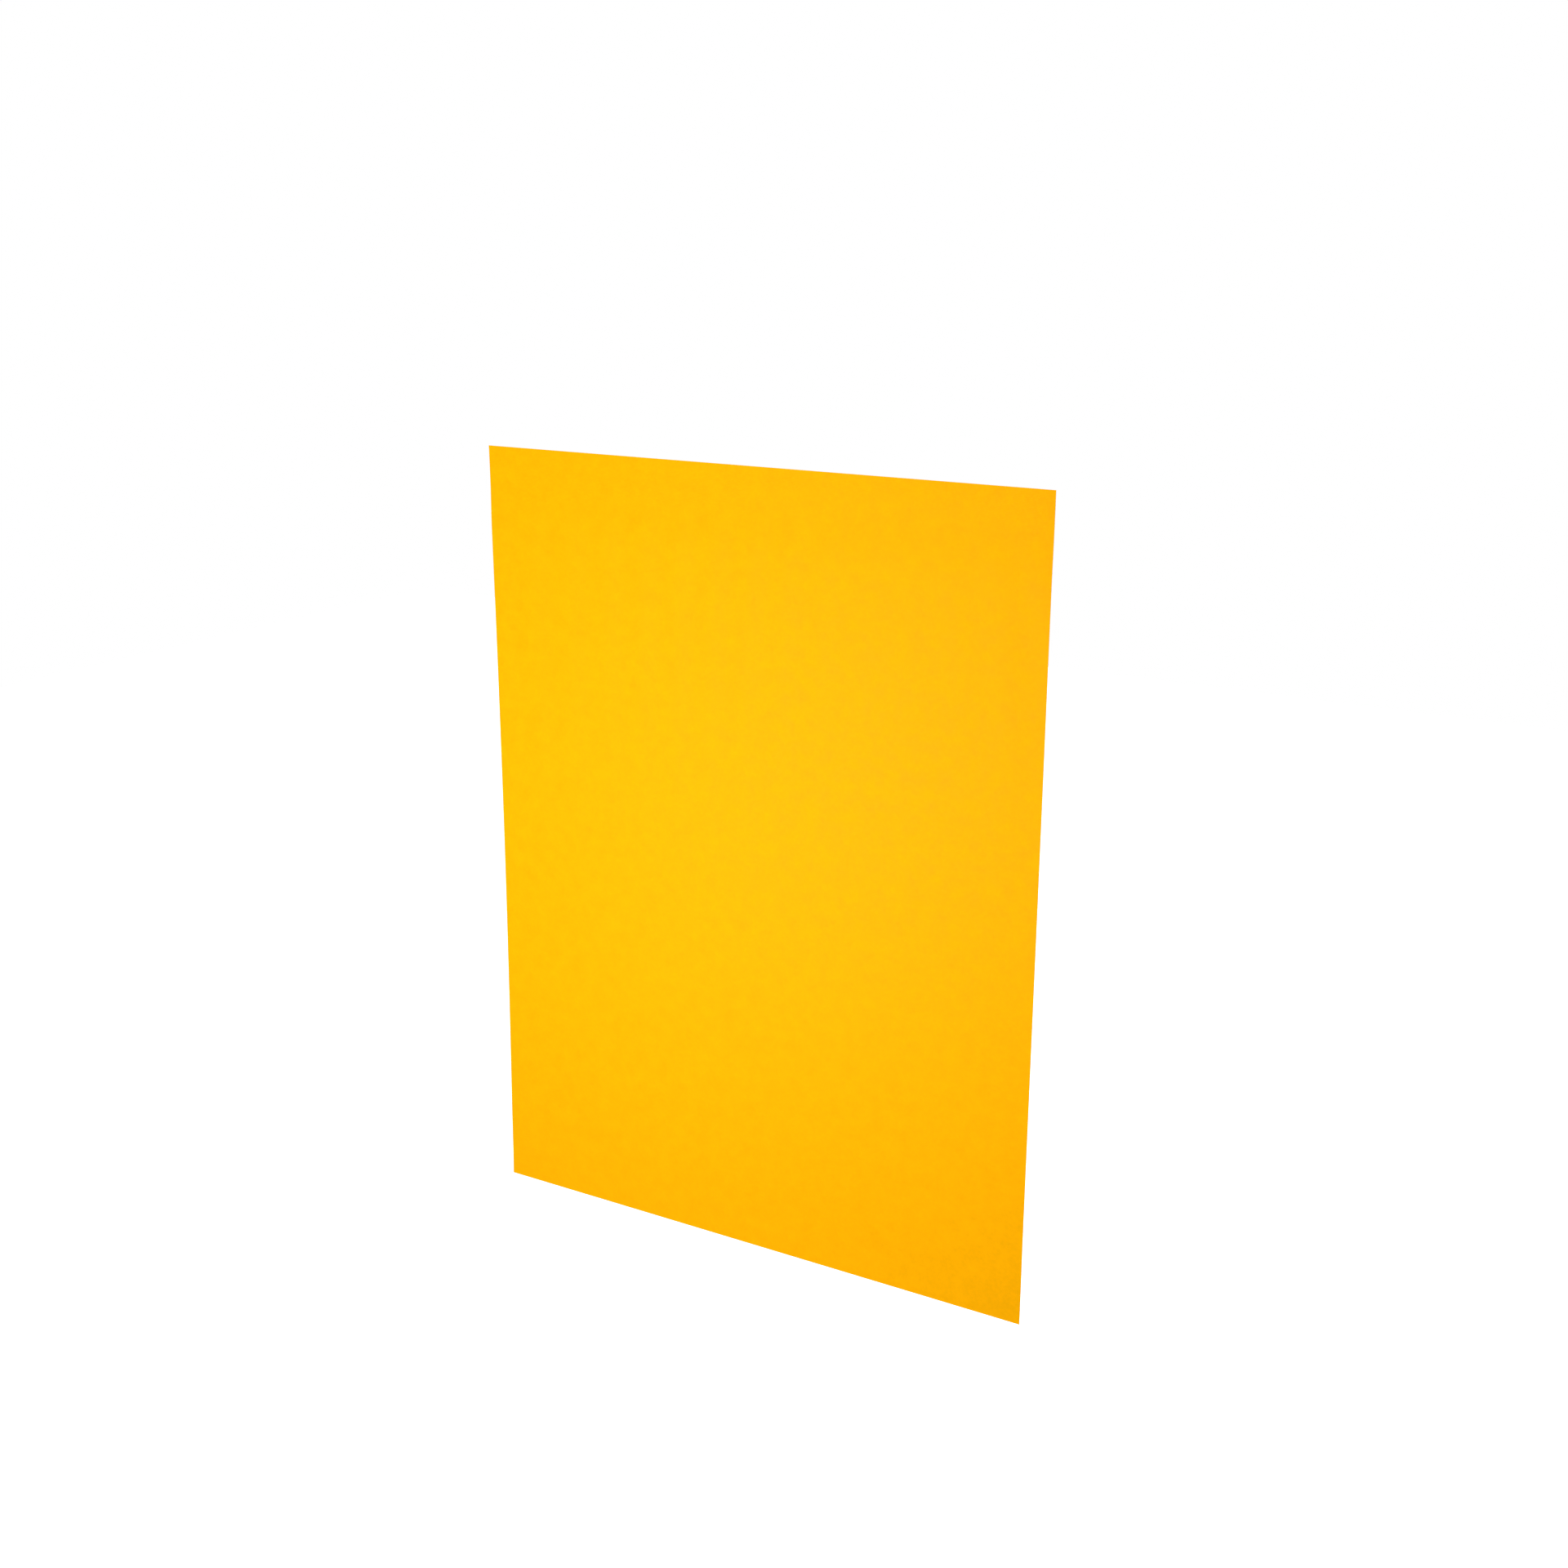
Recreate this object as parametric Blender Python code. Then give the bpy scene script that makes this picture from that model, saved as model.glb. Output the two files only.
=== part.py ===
"""A welding curtain that hangs on a round rail, with three wall brackets behind it.

Frame: +X runs along the curtain's width, +Y points into the wall, +Z is up. The origin is at
the middle of the centre bracket's back face, on the wall.

Pieces are placed from the rail's axis. A name ending in FRONT or BACK that is worked out
below is a distance from that axis towards the room, along -Y.
"""

import math

import bmesh
import bpy
from mathutils import Matrix, Vector

MM = 0.001

# Clearances
GAP = 0.3 * MM  # between pieces that touch
RUNNING = 0.4 * MM  # round the rail, inside a sleeve that slides on it

# Curtain cloth
CURTAIN_WIDTH = 1372 * MM
CURTAIN_HEIGHT = 1800 * MM
CLOTH = 0.6 * MM
EDGE_DRAW = 7 * MM  # how far the free left edge runs in at mid-height
EDGE_STEPS = 16
HEADER_RISE = 34 * MM  # top edge above the rail's axis
WELD_NARROW = 10 * MM  # pocket weld along the curtain's own edge
WELD_WIDE = 20 * MM  # pocket weld on the bar's other side
POCKET_INSET = 6 * MM  # pocket ends inside the curtain's side edges
HEM_WIDTH = 25 * MM
HEM_INSET = 0.6 * MM  # hem inside the sheet's own edge

# Stiffening bars
TOP_BAR_HEIGHT = 60 * MM
TOP_BAR_THICKNESS = 5 * MM
BOTTOM_BAR_HEIGHT = 40 * MM
BOTTOM_BAR_THICKNESS = 6 * MM
BAR_INSET = 16 * MM  # bar ends inside the curtain's side edges

# Rail
RAIL_DIAMETER = 26.9 * MM
RAIL_WALL = 2.6 * MM
RAIL_STANDOFF = 80 * MM  # wall to rail axis
RAIL_TAIL = 9 * MM  # rail past each stop collar
PLUG_HEAD = 3 * MM
PLUG_STEM = 22 * MM

# Sleeves, and the hooks that hang on them
HOOK_COUNT = 4
OUTER_HOOK_INSET = 116 * MM  # curtain's side edge to the outer hook's middle
HOOK_WIDTH = 25 * MM
HOOK_THICKNESS = 3 * MM
HOOK_WRAP = math.radians(260)  # from the front leg, over the sleeve and under it
HOOK_STEPS = 20
SLEEVE_WALL = 3 * MM
FLANGE_WIDTH = 2.5 * MM
FLANGE_SHY = 0.7 * MM  # flange below the hook's outer face
SLIDE_TRAVEL = 25 * MM  # each way from the middle

# Fasteners
HOOK_SCREW_RADIUS = 2.2 * MM
HOOK_SCREW_HEAD_RADIUS = 4 * MM
HOOK_SCREW_HEAD_HEIGHT = 2.4 * MM
HOOK_SCREW_DEPTH = 3.8 * MM  # into the top bar
HOOK_SCREW_SPREAD = 7 * MM  # each side of the hook's middle
HOOK_SCREW_EDGE = 8 * MM  # above the top bar's lower edge
SET_SCREW_RADIUS = 2.7 * MM
SET_SCREW_HEAD_RADIUS = 4.8 * MM
SET_SCREW_HEAD_HEIGHT = 4 * MM
SET_SCREW_TURN = math.radians(-45)  # leans back from straight up
GRUB_RADIUS = 2.2 * MM
GRUB_TURN = math.radians(-135)  # leans back from straight down

# Stop collars
COLLAR_WIDTH = 12 * MM
COLLAR_WALL = 4.6 * MM

# Wall brackets
PLATE_WIDTH = 70 * MM
PLATE_HEIGHT = 110 * MM
PLATE_THICKNESS = 5 * MM
RAIL_RISE = 42 * MM  # rail axis above the plate's middle
FIXING_HOLE_RADIUS = 4.5 * MM
FIXING_HOLE_EDGE = 12 * MM  # hole's middle to the plate's edges
RING_WIDTH = 30 * MM
RING_WALL = 4 * MM
BOSS_MARGIN = 1 * MM  # boss round the set screw's head
BOSS_RISE = 2 * MM
WEB_THICKNESS = 8 * MM
WEB_RISE = 6 * MM  # web's top above the rail's axis
WEB_DROP = 46 * MM  # web's foot below the rail's axis, at the plate
NOSE_WIDTH = 24 * MM
NOSE_THICKNESS = 4 * MM
BUMPER_WIDTH = 22 * MM
BUMPER_THICKNESS = 4.2 * MM
BUMPER_DROP = 5 * MM  # bumper's top below the ring
BUMPER_LIFT = 1.1 * MM  # bumper's foot above the top bar's lower edge
BUMPER_STEM_RADIUS = 3 * MM
BUMPER_STEM_LENGTH = 5 * MM

ROUND = 32  # sides of the rail and of what goes round it
SMALL_ROUND = 12  # sides of screws and small holes

# Distances from the rail's axis
RAIL_RADIUS = RAIL_DIAMETER / 2
SLEEVE_BORE = RAIL_RADIUS + RUNNING
SLEEVE_RADIUS = SLEEVE_BORE + SLEEVE_WALL
HOOK_INNER = SLEEVE_RADIUS + GAP
HOOK_OUTER = HOOK_INNER + HOOK_THICKNESS
FLANGE_RADIUS = HOOK_OUTER - FLANGE_SHY
RING_BORE = RAIL_RADIUS + GAP
RING_RADIUS = RING_BORE + RING_WALL
COLLAR_RADIUS = RING_BORE + COLLAR_WALL
TOP_POCKET_BACK = HOOK_OUTER + GAP
TOP_BAR_BACK = TOP_POCKET_BACK + CLOTH + GAP
TOP_BAR_FRONT = TOP_BAR_BACK + TOP_BAR_THICKNESS
SHEET_BACK = TOP_BAR_FRONT + GAP
SHEET_FRONT = SHEET_BACK + CLOTH
SEAM_FRONT = SHEET_BACK - GAP
SEAM_BACK = SEAM_FRONT - CLOTH
BOTTOM_BAR_FRONT = SEAM_FRONT
BOTTOM_BAR_BACK = BOTTOM_BAR_FRONT - BOTTOM_BAR_THICKNESS
BOTTOM_POCKET_BACK = BOTTOM_BAR_BACK - GAP - CLOTH
BUMPER_FRONT = TOP_POCKET_BACK - GAP
BUMPER_BACK = BUMPER_FRONT - BUMPER_THICKNESS
NOSE_FRONT = BUMPER_BACK - GAP
NOSE_BACK = NOSE_FRONT - NOSE_THICKNESS
PLATE_FACE = RAIL_STANDOFF - PLATE_THICKNESS  # the plate's room side, behind the axis

# Heights, from the rail's axis
CURTAIN_TOP = HEADER_RISE
CURTAIN_BOTTOM = CURTAIN_TOP - CURTAIN_HEIGHT
TOP_BAR_TOP = CURTAIN_TOP - WELD_NARROW
TOP_BAR_BOTTOM = TOP_BAR_TOP - TOP_BAR_HEIGHT
BOTTOM_BAR_BOTTOM = CURTAIN_BOTTOM + WELD_NARROW
BOTTOM_BAR_TOP = BOTTOM_BAR_BOTTOM + BOTTOM_BAR_HEIGHT
HOOK_SCREW_Z = TOP_BAR_BOTTOM + HOOK_SCREW_EDGE
BUMPER_BOTTOM = TOP_BAR_BOTTOM + BUMPER_LIFT
BUMPER_TOP = -BUMPER_DROP - math.sqrt(max(0, RING_RADIUS**2 - BUMPER_BACK**2))
BUMPER_MIDDLE = (BUMPER_BOTTOM + BUMPER_TOP) / 2
PLATE_TOP = PLATE_HEIGHT / 2 - RAIL_RISE
PLATE_BOTTOM = PLATE_TOP - PLATE_HEIGHT

# Places along the rail
HALF_WIDTH = CURTAIN_WIDTH / 2
BAR_HALF = HALF_WIDTH - BAR_INSET
POCKET_HALF = HALF_WIDTH - POCKET_INSET
OUTER_HOOK_X = HALF_WIDTH - OUTER_HOOK_INSET
HOOK_PITCH = 2 * OUTER_HOOK_X / (HOOK_COUNT - 1)
HOOK_PLACES = [-OUTER_HOOK_X + i * HOOK_PITCH for i in range(HOOK_COUNT)]
BRACKET_PLACES = [x + HOOK_PITCH / 2 for x in HOOK_PLACES[:-1]]
BRACKET_NAMES = ["left", "centre", "right"]
SLEEVE_HALF = HOOK_WIDTH / 2 + GAP + FLANGE_WIDTH
COLLAR_X = OUTER_HOOK_X + SLEEVE_HALF + SLIDE_TRAVEL + GAP + COLLAR_WIDTH / 2
RAIL_HALF = COLLAR_X + COLLAR_WIDTH / 2 + RAIL_TAIL
SCREW_PLACES = [x + s * HOOK_SCREW_SPREAD for x in HOOK_PLACES for s in (-1, 1)]


def make_material(name, colour, roughness, metallic):
    material = bpy.data.materials.new(name)
    material.use_nodes = True
    shader = material.node_tree.nodes["Principled BSDF"]
    shader.inputs["Base Color"].default_value = (*colour, 1.0)
    shader.inputs["Roughness"].default_value = roughness
    shader.inputs["Metallic"].default_value = metallic
    return material


def make_empty(name, place, parent=None):
    empty = bpy.data.objects.new(name, None)
    empty.location = place
    empty.parent = parent
    bpy.context.collection.objects.link(empty)
    return empty


def link(name, mesh):
    piece = bpy.data.objects.new(name, mesh)
    bpy.context.collection.objects.link(piece)
    return piece


def shade(mesh):
    """Smooth round sides and crisp edges."""
    mesh.shade_smooth()
    mesh.set_sharp_from_angle(angle=math.radians(35))


def mesh_of(bm, name):
    """bm as a mesh with its faces outwards."""
    bmesh.ops.recalc_face_normals(bm, faces=bm.faces)
    mesh = bpy.data.meshes.new(name)
    bm.to_mesh(mesh)
    bm.free()
    shade(mesh)
    return mesh


def add_piece(name, mesh, material, parent, place=(0, 0, 0), turn=0):
    """One node: its mesh, placed from its parent's origin and turned about the X axis."""
    if not mesh.materials:
        mesh.materials.append(material)
    piece = link(name, mesh)
    piece.location = place
    piece.rotation_euler = (turn, 0, 0)
    piece.parent = parent
    return piece


def block(low, high):
    """A box between two corners."""
    bm = bmesh.new()
    bmesh.ops.create_cube(bm, size=1)
    bmesh.ops.scale(bm, vec=[b - a for a, b in zip(low, high)], verts=bm.verts)
    middle = [(a + b) / 2 for a, b in zip(low, high)]
    bmesh.ops.translate(bm, vec=middle, verts=bm.verts)
    return bm


def sweep(outline, vector):
    """A flat outline, swept along a vector."""
    bm = bmesh.new()
    bm.faces.new([bm.verts.new(point) for point in outline])
    swept = bmesh.ops.extrude_face_region(bm, geom=bm.faces[:])["geom"]
    moved = [v for v in swept if isinstance(v, bmesh.types.BMVert)]
    bmesh.ops.translate(bm, vec=vector, verts=moved)
    return bm


def along_x(outline, width):
    """A (y, z) outline as a solid of this width, centred on x = 0."""
    return sweep([(-width / 2, y, z) for y, z in outline], (width, 0, 0))


def turned(profile, axis, steps, closed):
    """A profile of (place along the axis, radius) points, spun once round that axis.

    An open profile starts and ends on the axis."""
    bm = bmesh.new()
    if axis == "X":
        points = [bm.verts.new((along, 0, radius)) for along, radius in profile]
    else:
        points = [bm.verts.new((radius, 0, along)) for along, radius in profile]
    edges = [bm.edges.new(pair) for pair in zip(points, points[1:])]
    if closed:
        edges.append(bm.edges.new((points[-1], points[0])))
    bmesh.ops.spin(
        bm,
        geom=points + edges,
        cent=(0, 0, 0),
        axis=Matrix.Identity(3)["XYZ".index(axis)],
        angle=2 * math.pi,
        steps=steps,
        use_merge=True,
    )
    bmesh.ops.remove_doubles(bm, verts=bm.verts, dist=GAP / 100)
    return bm


def ring(inner, outer, width):
    """A plain ring round the X axis, centred on x = 0."""
    half = width / 2
    profile = [(-half, inner), (half, inner), (half, outer), (-half, outer)]
    return turned(profile, "X", ROUND, True)


def disc(radius, width):
    """A solid cylinder on the X axis, centred on x = 0."""
    half = width / 2
    profile = [(-half, 0), (-half, radius), (half, radius), (half, 0)]
    return turned(profile, "X", ROUND, False)


def rod(radius, start, end, turn=0, place=(0, 0, 0)):
    """A cylinder up the Z axis from start to end, then turned about X and moved."""
    profile = [(start, 0), (start, radius), (end, radius), (end, 0)]
    bm = turned(profile, "Z", SMALL_ROUND, False)
    spin = Matrix.Rotation(turn, 3, "X")
    bmesh.ops.rotate(bm, cent=(0, 0, 0), matrix=spin, verts=bm.verts)
    bmesh.ops.translate(bm, vec=place, verts=bm.verts)
    return bm


def screw(radius, length, head_radius, head_height):
    """A screw on the Z axis: its head stands on z = 0 and its shank goes down."""
    profile = [
        (-length, 0),
        (-length, radius),
        (0, radius),
        (0, head_radius),
        (head_height, head_radius),
        (head_height, 0),
    ]
    return turned(profile, "Z", SMALL_ROUND, False)


def carve(name, base, added, cut):
    """base with other solids joined on, and then others cut away, as one mesh.

    The Booleans work in millimetres, because they lose small faces in metres."""
    whole = link(name, mesh_of(base, name))
    helpers = []
    for operation, shapes in (("UNION", added), ("DIFFERENCE", cut)):
        for shape in shapes:
            helper = link("helper", mesh_of(shape, "helper"))
            modifier = whole.modifiers.new(operation, "BOOLEAN")
            modifier.operation = operation
            modifier.object = helper
            helpers.append(helper)
    for shape in [whole] + helpers:
        shape.data.transform(Matrix.Scale(1 / MM, 4))
    view = bpy.context.evaluated_depsgraph_get()
    mesh = bpy.data.meshes.new_from_object(whole.evaluated_get(view))
    mesh.transform(Matrix.Scale(MM, 4))
    for spare in [whole] + helpers:
        bpy.data.objects.remove(spare, do_unlink=True)
    shade(mesh)
    return mesh


def side_edge(side, inset):
    """A side edge of the curtain from bottom to top, moved in by inset: (x, z) points.

    The left edge draws in between the two bars, and the right one is straight."""
    draw = EDGE_DRAW if side < 0 else 0
    points = []
    for i in range(EDGE_STEPS + 1):
        share = i / EDGE_STEPS
        inwards = inset + draw * 4 * share * (1 - share)
        points.append((side * (HALF_WIDTH - inwards), CURTAIN_BOTTOM + share * CURTAIN_HEIGHT))
    return points


def between(points, low, high):
    """The stretch of an edge between two heights."""

    def crossing(z):
        for (x0, z0), (x1, z1) in zip(points, points[1:]):
            if z0 <= z <= z1:
                return (x0 + (x1 - x0) * (z - z0) / (z1 - z0), z)

    return [crossing(low)] + [p for p in points if low < p[1] < high] + [crossing(high)]


def upright(outline, back):
    """An (x, z) outline as cloth of one thickness, with its back this far from the axis."""
    return sweep([(x, -back, z) for x, z in outline], (0, -CLOTH, 0))


def pocket(back, bar_low, bar_high, weld_low, weld_high):
    """A strip of cloth that passes behind a bar and lies on the sheet past both edges."""
    low = bar_low - GAP
    high = bar_high + GAP
    outline = [
        (-SEAM_BACK, bar_low - weld_low),
        (-SEAM_BACK, low - CLOTH),
        (-back, low - CLOTH),
        (-back, high + CLOTH),
        (-SEAM_BACK, high + CLOTH),
        (-SEAM_BACK, bar_high + weld_high),
        (-SEAM_FRONT, bar_high + weld_high),
        (-SEAM_FRONT, high),
        (-back - CLOTH, high),
        (-back - CLOTH, low),
        (-SEAM_FRONT, low),
        (-SEAM_FRONT, bar_low - weld_low),
    ]
    return along_x(outline, 2 * POCKET_HALF)


def screw_holes(front, back, places):
    """Holes for the hook screws, from one distance in front of the axis to another."""
    radius = HOOK_SCREW_RADIUS + GAP
    sideways = math.pi / 2
    return [rod(radius, back, front, sideways, (x, 0, HOOK_SCREW_Z)) for x in places]


def make_rail(frame, galvanised, nylon):
    bore = RAIL_RADIUS - RAIL_WALL
    tube = mesh_of(ring(bore, RAIL_RADIUS, 2 * RAIL_HALF), "rail_tube")
    add_piece("rail_tube", tube, galvanised, frame)
    for side, name in ((-1, "rail_plug_left"), (1, "rail_plug_right")):
        profile = [
            (-side * PLUG_STEM, 0),
            (-side * PLUG_STEM, bore - GAP),
            (side * GAP, bore - GAP),
            (side * GAP, RAIL_RADIUS),
            (side * (GAP + PLUG_HEAD), RAIL_RADIUS),
            (side * (GAP + PLUG_HEAD), 0),
        ]
        plug = mesh_of(turned(profile, "X", ROUND, False), name)
        add_piece(name, plug, nylon, frame, (side * RAIL_HALF, 0, 0))


def make_collars(frame, zinc, black_steel):
    """Stop collars, each locked on the rail by a grub screw from below and behind."""
    hole = rod(GRUB_RADIUS + GAP, RAIL_RADIUS, COLLAR_RADIUS + GAP, GRUB_TURN)
    blank = ring(RING_BORE, COLLAR_RADIUS, COLLAR_WIDTH)
    collar = carve("stop_collar", blank, [], [hole])
    grub = mesh_of(rod(GRUB_RADIUS, RING_BORE, COLLAR_RADIUS - GAP), "collar_grub")
    for side, name in ((-1, "left"), (1, "right")):
        place = (side * COLLAR_X, 0, 0)
        add_piece("stop_collar_" + name, collar, zinc, frame, place)
        add_piece("collar_grub_screw_" + name, grub, black_steel, frame, place, GRUB_TURN)


def bracket_mesh():
    """A plate on the wall, a web with a ring for the rail, and a nose for the bumper."""
    plate = block(
        (-PLATE_WIDTH / 2, PLATE_FACE, PLATE_BOTTOM),
        (PLATE_WIDTH / 2, RAIL_STANDOFF, PLATE_TOP),
    )
    inside_plate = RAIL_STANDOFF - PLATE_THICKNESS / 2
    inside_nose = NOSE_BACK + NOSE_THICKNESS / 2
    web = along_x(
        [
            (-inside_nose, BUMPER_BOTTOM),
            (inside_plate, -WEB_DROP),
            (inside_plate, WEB_RISE),
            (0, WEB_RISE),
            (-inside_nose, BUMPER_TOP),
        ],
        WEB_THICKNESS,
    )
    nose = block(
        (-NOSE_WIDTH / 2, -NOSE_FRONT, BUMPER_BOTTOM - GAP),
        (NOSE_WIDTH / 2, -NOSE_BACK, BUMPER_TOP + GAP),
    )
    boss_radius = SET_SCREW_HEAD_RADIUS + BOSS_MARGIN
    boss_top = RING_RADIUS + BOSS_RISE
    boss = rod(boss_radius, RAIL_RADIUS, boss_top, SET_SCREW_TURN)
    set_hole = rod(SET_SCREW_RADIUS + GAP, 0, boss_top + GAP, SET_SCREW_TURN)
    stem_hole = rod(
        BUMPER_STEM_RADIUS + GAP,
        BUMPER_BACK - BUMPER_STEM_LENGTH - GAP,
        BUMPER_BACK,
        math.pi / 2,
        (0, 0, BUMPER_MIDDLE),
    )
    across = PLATE_WIDTH / 2 - FIXING_HOLE_EDGE
    upper = PLATE_TOP - FIXING_HOLE_EDGE
    lower = PLATE_BOTTOM + FIXING_HOLE_EDGE
    fixings = [
        rod(FIXING_HOLE_RADIUS, PLATE_FACE - GAP, RAIL_STANDOFF + GAP, -math.pi / 2, place)
        for place in ((-across, 0, upper), (across, 0, upper), (0, 0, lower))
    ]
    bore = disc(RING_BORE, RING_WIDTH + GAP)
    eye = disc(RING_RADIUS, RING_WIDTH)
    cuts = [bore, set_hole, stem_hole] + fixings
    return carve("wall_bracket", plate, [web, nose, eye, boss], cuts)


def make_brackets(frame, zinc, black_steel, rubber):
    bracket = bracket_mesh()
    set_screw = mesh_of(
        screw(
            SET_SCREW_RADIUS,
            RING_WALL + BOSS_RISE + GAP,
            SET_SCREW_HEAD_RADIUS,
            SET_SCREW_HEAD_HEIGHT,
        ),
        "set_screw",
    )
    lean = Matrix.Rotation(SET_SCREW_TURN, 3, "X").col[2]
    pad = block(
        (-BUMPER_WIDTH / 2, -BUMPER_FRONT, BUMPER_BOTTOM),
        (BUMPER_WIDTH / 2, -BUMPER_BACK, BUMPER_TOP),
    )
    stem = rod(
        BUMPER_STEM_RADIUS,
        BUMPER_BACK - BUMPER_STEM_LENGTH,
        BUMPER_BACK + BUMPER_THICKNESS / 2,
        math.pi / 2,
        (0, 0, BUMPER_MIDDLE),
    )
    bumper = carve("bumper", pad, [stem], [])
    for x, name in zip(BRACKET_PLACES, BRACKET_NAMES):
        seat = Vector((x, 0, 0)) + lean * (RING_RADIUS + BOSS_RISE + GAP)
        add_piece("wall_bracket_" + name, bracket, zinc, frame, (x, 0, 0))
        add_piece("rail_set_screw_" + name, set_screw, black_steel, frame, seat, SET_SCREW_TURN)
        add_piece("bumper_" + name, bumper, rubber, frame, (x, 0, 0))


def make_sleeves(slide, nylon):
    """Flanged sleeves that run on the rail, one under each hook."""
    inner = SLEEVE_HALF - FLANGE_WIDTH
    profile = [
        (-SLEEVE_HALF, SLEEVE_BORE),
        (SLEEVE_HALF, SLEEVE_BORE),
        (SLEEVE_HALF, FLANGE_RADIUS),
        (inner, FLANGE_RADIUS),
        (inner, SLEEVE_RADIUS),
        (-inner, SLEEVE_RADIUS),
        (-inner, FLANGE_RADIUS),
        (-SLEEVE_HALF, FLANGE_RADIUS),
    ]
    sleeve = mesh_of(turned(profile, "X", ROUND, True), "sleeve")
    for i, x in enumerate(HOOK_PLACES, 1):
        add_piece(f"rail_sleeve_{i}", sleeve, nylon, slide, (x, 0, 0))


def make_hooks(swing, stainless, zinc):
    """Strip hooks: a straight leg on the top bar, and a loop over and round the sleeve."""
    turns = [math.pi - HOOK_WRAP * i / HOOK_STEPS for i in range(HOOK_STEPS + 1)]
    outer = [(HOOK_OUTER * math.cos(a), HOOK_OUTER * math.sin(a)) for a in turns]
    inner = [(HOOK_INNER * math.cos(a), HOOK_INNER * math.sin(a)) for a in reversed(turns)]
    leg = [(-HOOK_INNER, TOP_BAR_BOTTOM), (-HOOK_OUTER, TOP_BAR_BOTTOM)]
    holes = screw_holes(
        HOOK_OUTER + GAP, HOOK_INNER - GAP, (-HOOK_SCREW_SPREAD, HOOK_SCREW_SPREAD)
    )
    hook = carve("hanger_hook", along_x(outer + inner + leg, HOOK_WIDTH), [], holes)
    for i, x in enumerate(HOOK_PLACES, 1):
        add_piece(f"hanger_hook_{i}", hook, stainless, swing, (x, 0, 0))

    head_seat = HOOK_INNER - GAP
    length = TOP_BAR_BACK + HOOK_SCREW_DEPTH - head_seat
    shape = screw(
        HOOK_SCREW_RADIUS, length, HOOK_SCREW_HEAD_RADIUS, HOOK_SCREW_HEAD_HEIGHT
    )
    hook_screw = mesh_of(shape, "hook_screw")
    for i, x in enumerate(SCREW_PLACES, 1):
        place = (x, -head_seat, HOOK_SCREW_Z)
        add_piece(f"hook_screw_{i}", hook_screw, zinc, swing, place, -math.pi / 2)


def make_bars(swing, aluminium, galvanised):
    """The flat bars that keep the curtain's top and bottom edges straight."""
    low = (-BAR_HALF, -TOP_BAR_FRONT, TOP_BAR_BOTTOM)
    high = (BAR_HALF, -TOP_BAR_BACK, TOP_BAR_TOP)
    depth = TOP_BAR_BACK + HOOK_SCREW_DEPTH + GAP
    holes = screw_holes(depth, TOP_BAR_BACK - GAP, SCREW_PLACES)
    top = carve("top_bar", block(low, high), [], holes)
    add_piece("top_bar", top, aluminium, swing)

    low = (-BAR_HALF, -BOTTOM_BAR_FRONT, BOTTOM_BAR_BOTTOM)
    high = (BAR_HALF, -BOTTOM_BAR_BACK, BOTTOM_BAR_TOP)
    add_piece("weight_bar", mesh_of(block(low, high), "weight_bar"), galvanised, swing)


def make_cloth(swing, cloth):
    """The sheet, the two pockets on its back and a hem down each side."""
    left = side_edge(-1, 0)
    right = side_edge(1, 0)
    sheet = upright(left + right[::-1], SHEET_BACK)
    add_piece("curtain_sheet", mesh_of(sheet, "curtain_sheet"), cloth, swing)

    shape = pocket(
        TOP_POCKET_BACK, TOP_BAR_BOTTOM, TOP_BAR_TOP, WELD_WIDE, WELD_NARROW - GAP
    )
    holes = screw_holes(TOP_BAR_BACK, TOP_POCKET_BACK - GAP, SCREW_PLACES)
    top = carve("top_pocket", shape, [], holes)
    add_piece("top_pocket", top, cloth, swing)
    shape = pocket(
        BOTTOM_POCKET_BACK, BOTTOM_BAR_BOTTOM, BOTTOM_BAR_TOP, WELD_NARROW - GAP, WELD_WIDE
    )
    add_piece("bottom_pocket", mesh_of(shape, "bottom_pocket"), cloth, swing)

    low = BOTTOM_BAR_TOP + WELD_WIDE + GAP
    high = TOP_BAR_BOTTOM - WELD_WIDE - GAP
    for side, name in ((-1, "side_hem_left"), (1, "side_hem_right")):
        outer = between(side_edge(side, HEM_INSET), low, high)
        inner = between(side_edge(side, HEM_INSET + HEM_WIDTH), low, high)
        hem = upright(outer + inner[::-1], SEAM_BACK)
        add_piece(name, mesh_of(hem, name), cloth, swing)


def main():
    for old in list(bpy.data.objects):
        bpy.data.objects.remove(old, do_unlink=True)

    galvanised = make_material("galvanised_steel", (0.55, 0.57, 0.58), 0.45, 1.0)
    zinc = make_material("zinc_plate", (0.68, 0.68, 0.66), 0.35, 1.0)
    stainless = make_material("stainless_steel", (0.62, 0.61, 0.59), 0.3, 1.0)
    black_steel = make_material("black_steel", (0.05, 0.05, 0.055), 0.4, 1.0)
    aluminium = make_material("mill_aluminium", (0.8, 0.8, 0.8), 0.4, 1.0)
    nylon = make_material("black_nylon", (0.02, 0.02, 0.022), 0.5, 0.0)
    rubber = make_material("grey_rubber", (0.06, 0.06, 0.06), 0.8, 0.0)
    cloth = make_material("yellow_coated_cloth", (0.99, 0.55, 0.0), 0.5, 0.0)

    rail_line = make_empty("rail_line", (0, -RAIL_STANDOFF, RAIL_RISE))
    slide = make_empty("sleeve_slide", (0, 0, 0), rail_line)
    swing = make_empty("curtain_swing", (0, 0, 0), slide)

    make_rail(rail_line, galvanised, nylon)
    make_collars(rail_line, zinc, black_steel)
    make_brackets(rail_line, zinc, black_steel, rubber)
    make_sleeves(slide, nylon)
    make_hooks(swing, stainless, zinc)
    make_bars(swing, aluminium, galvanised)
    make_cloth(swing, cloth)


main()
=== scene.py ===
import math

import bmesh
import bpy
from mathutils import Matrix, Vector, geometry, noise


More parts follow.
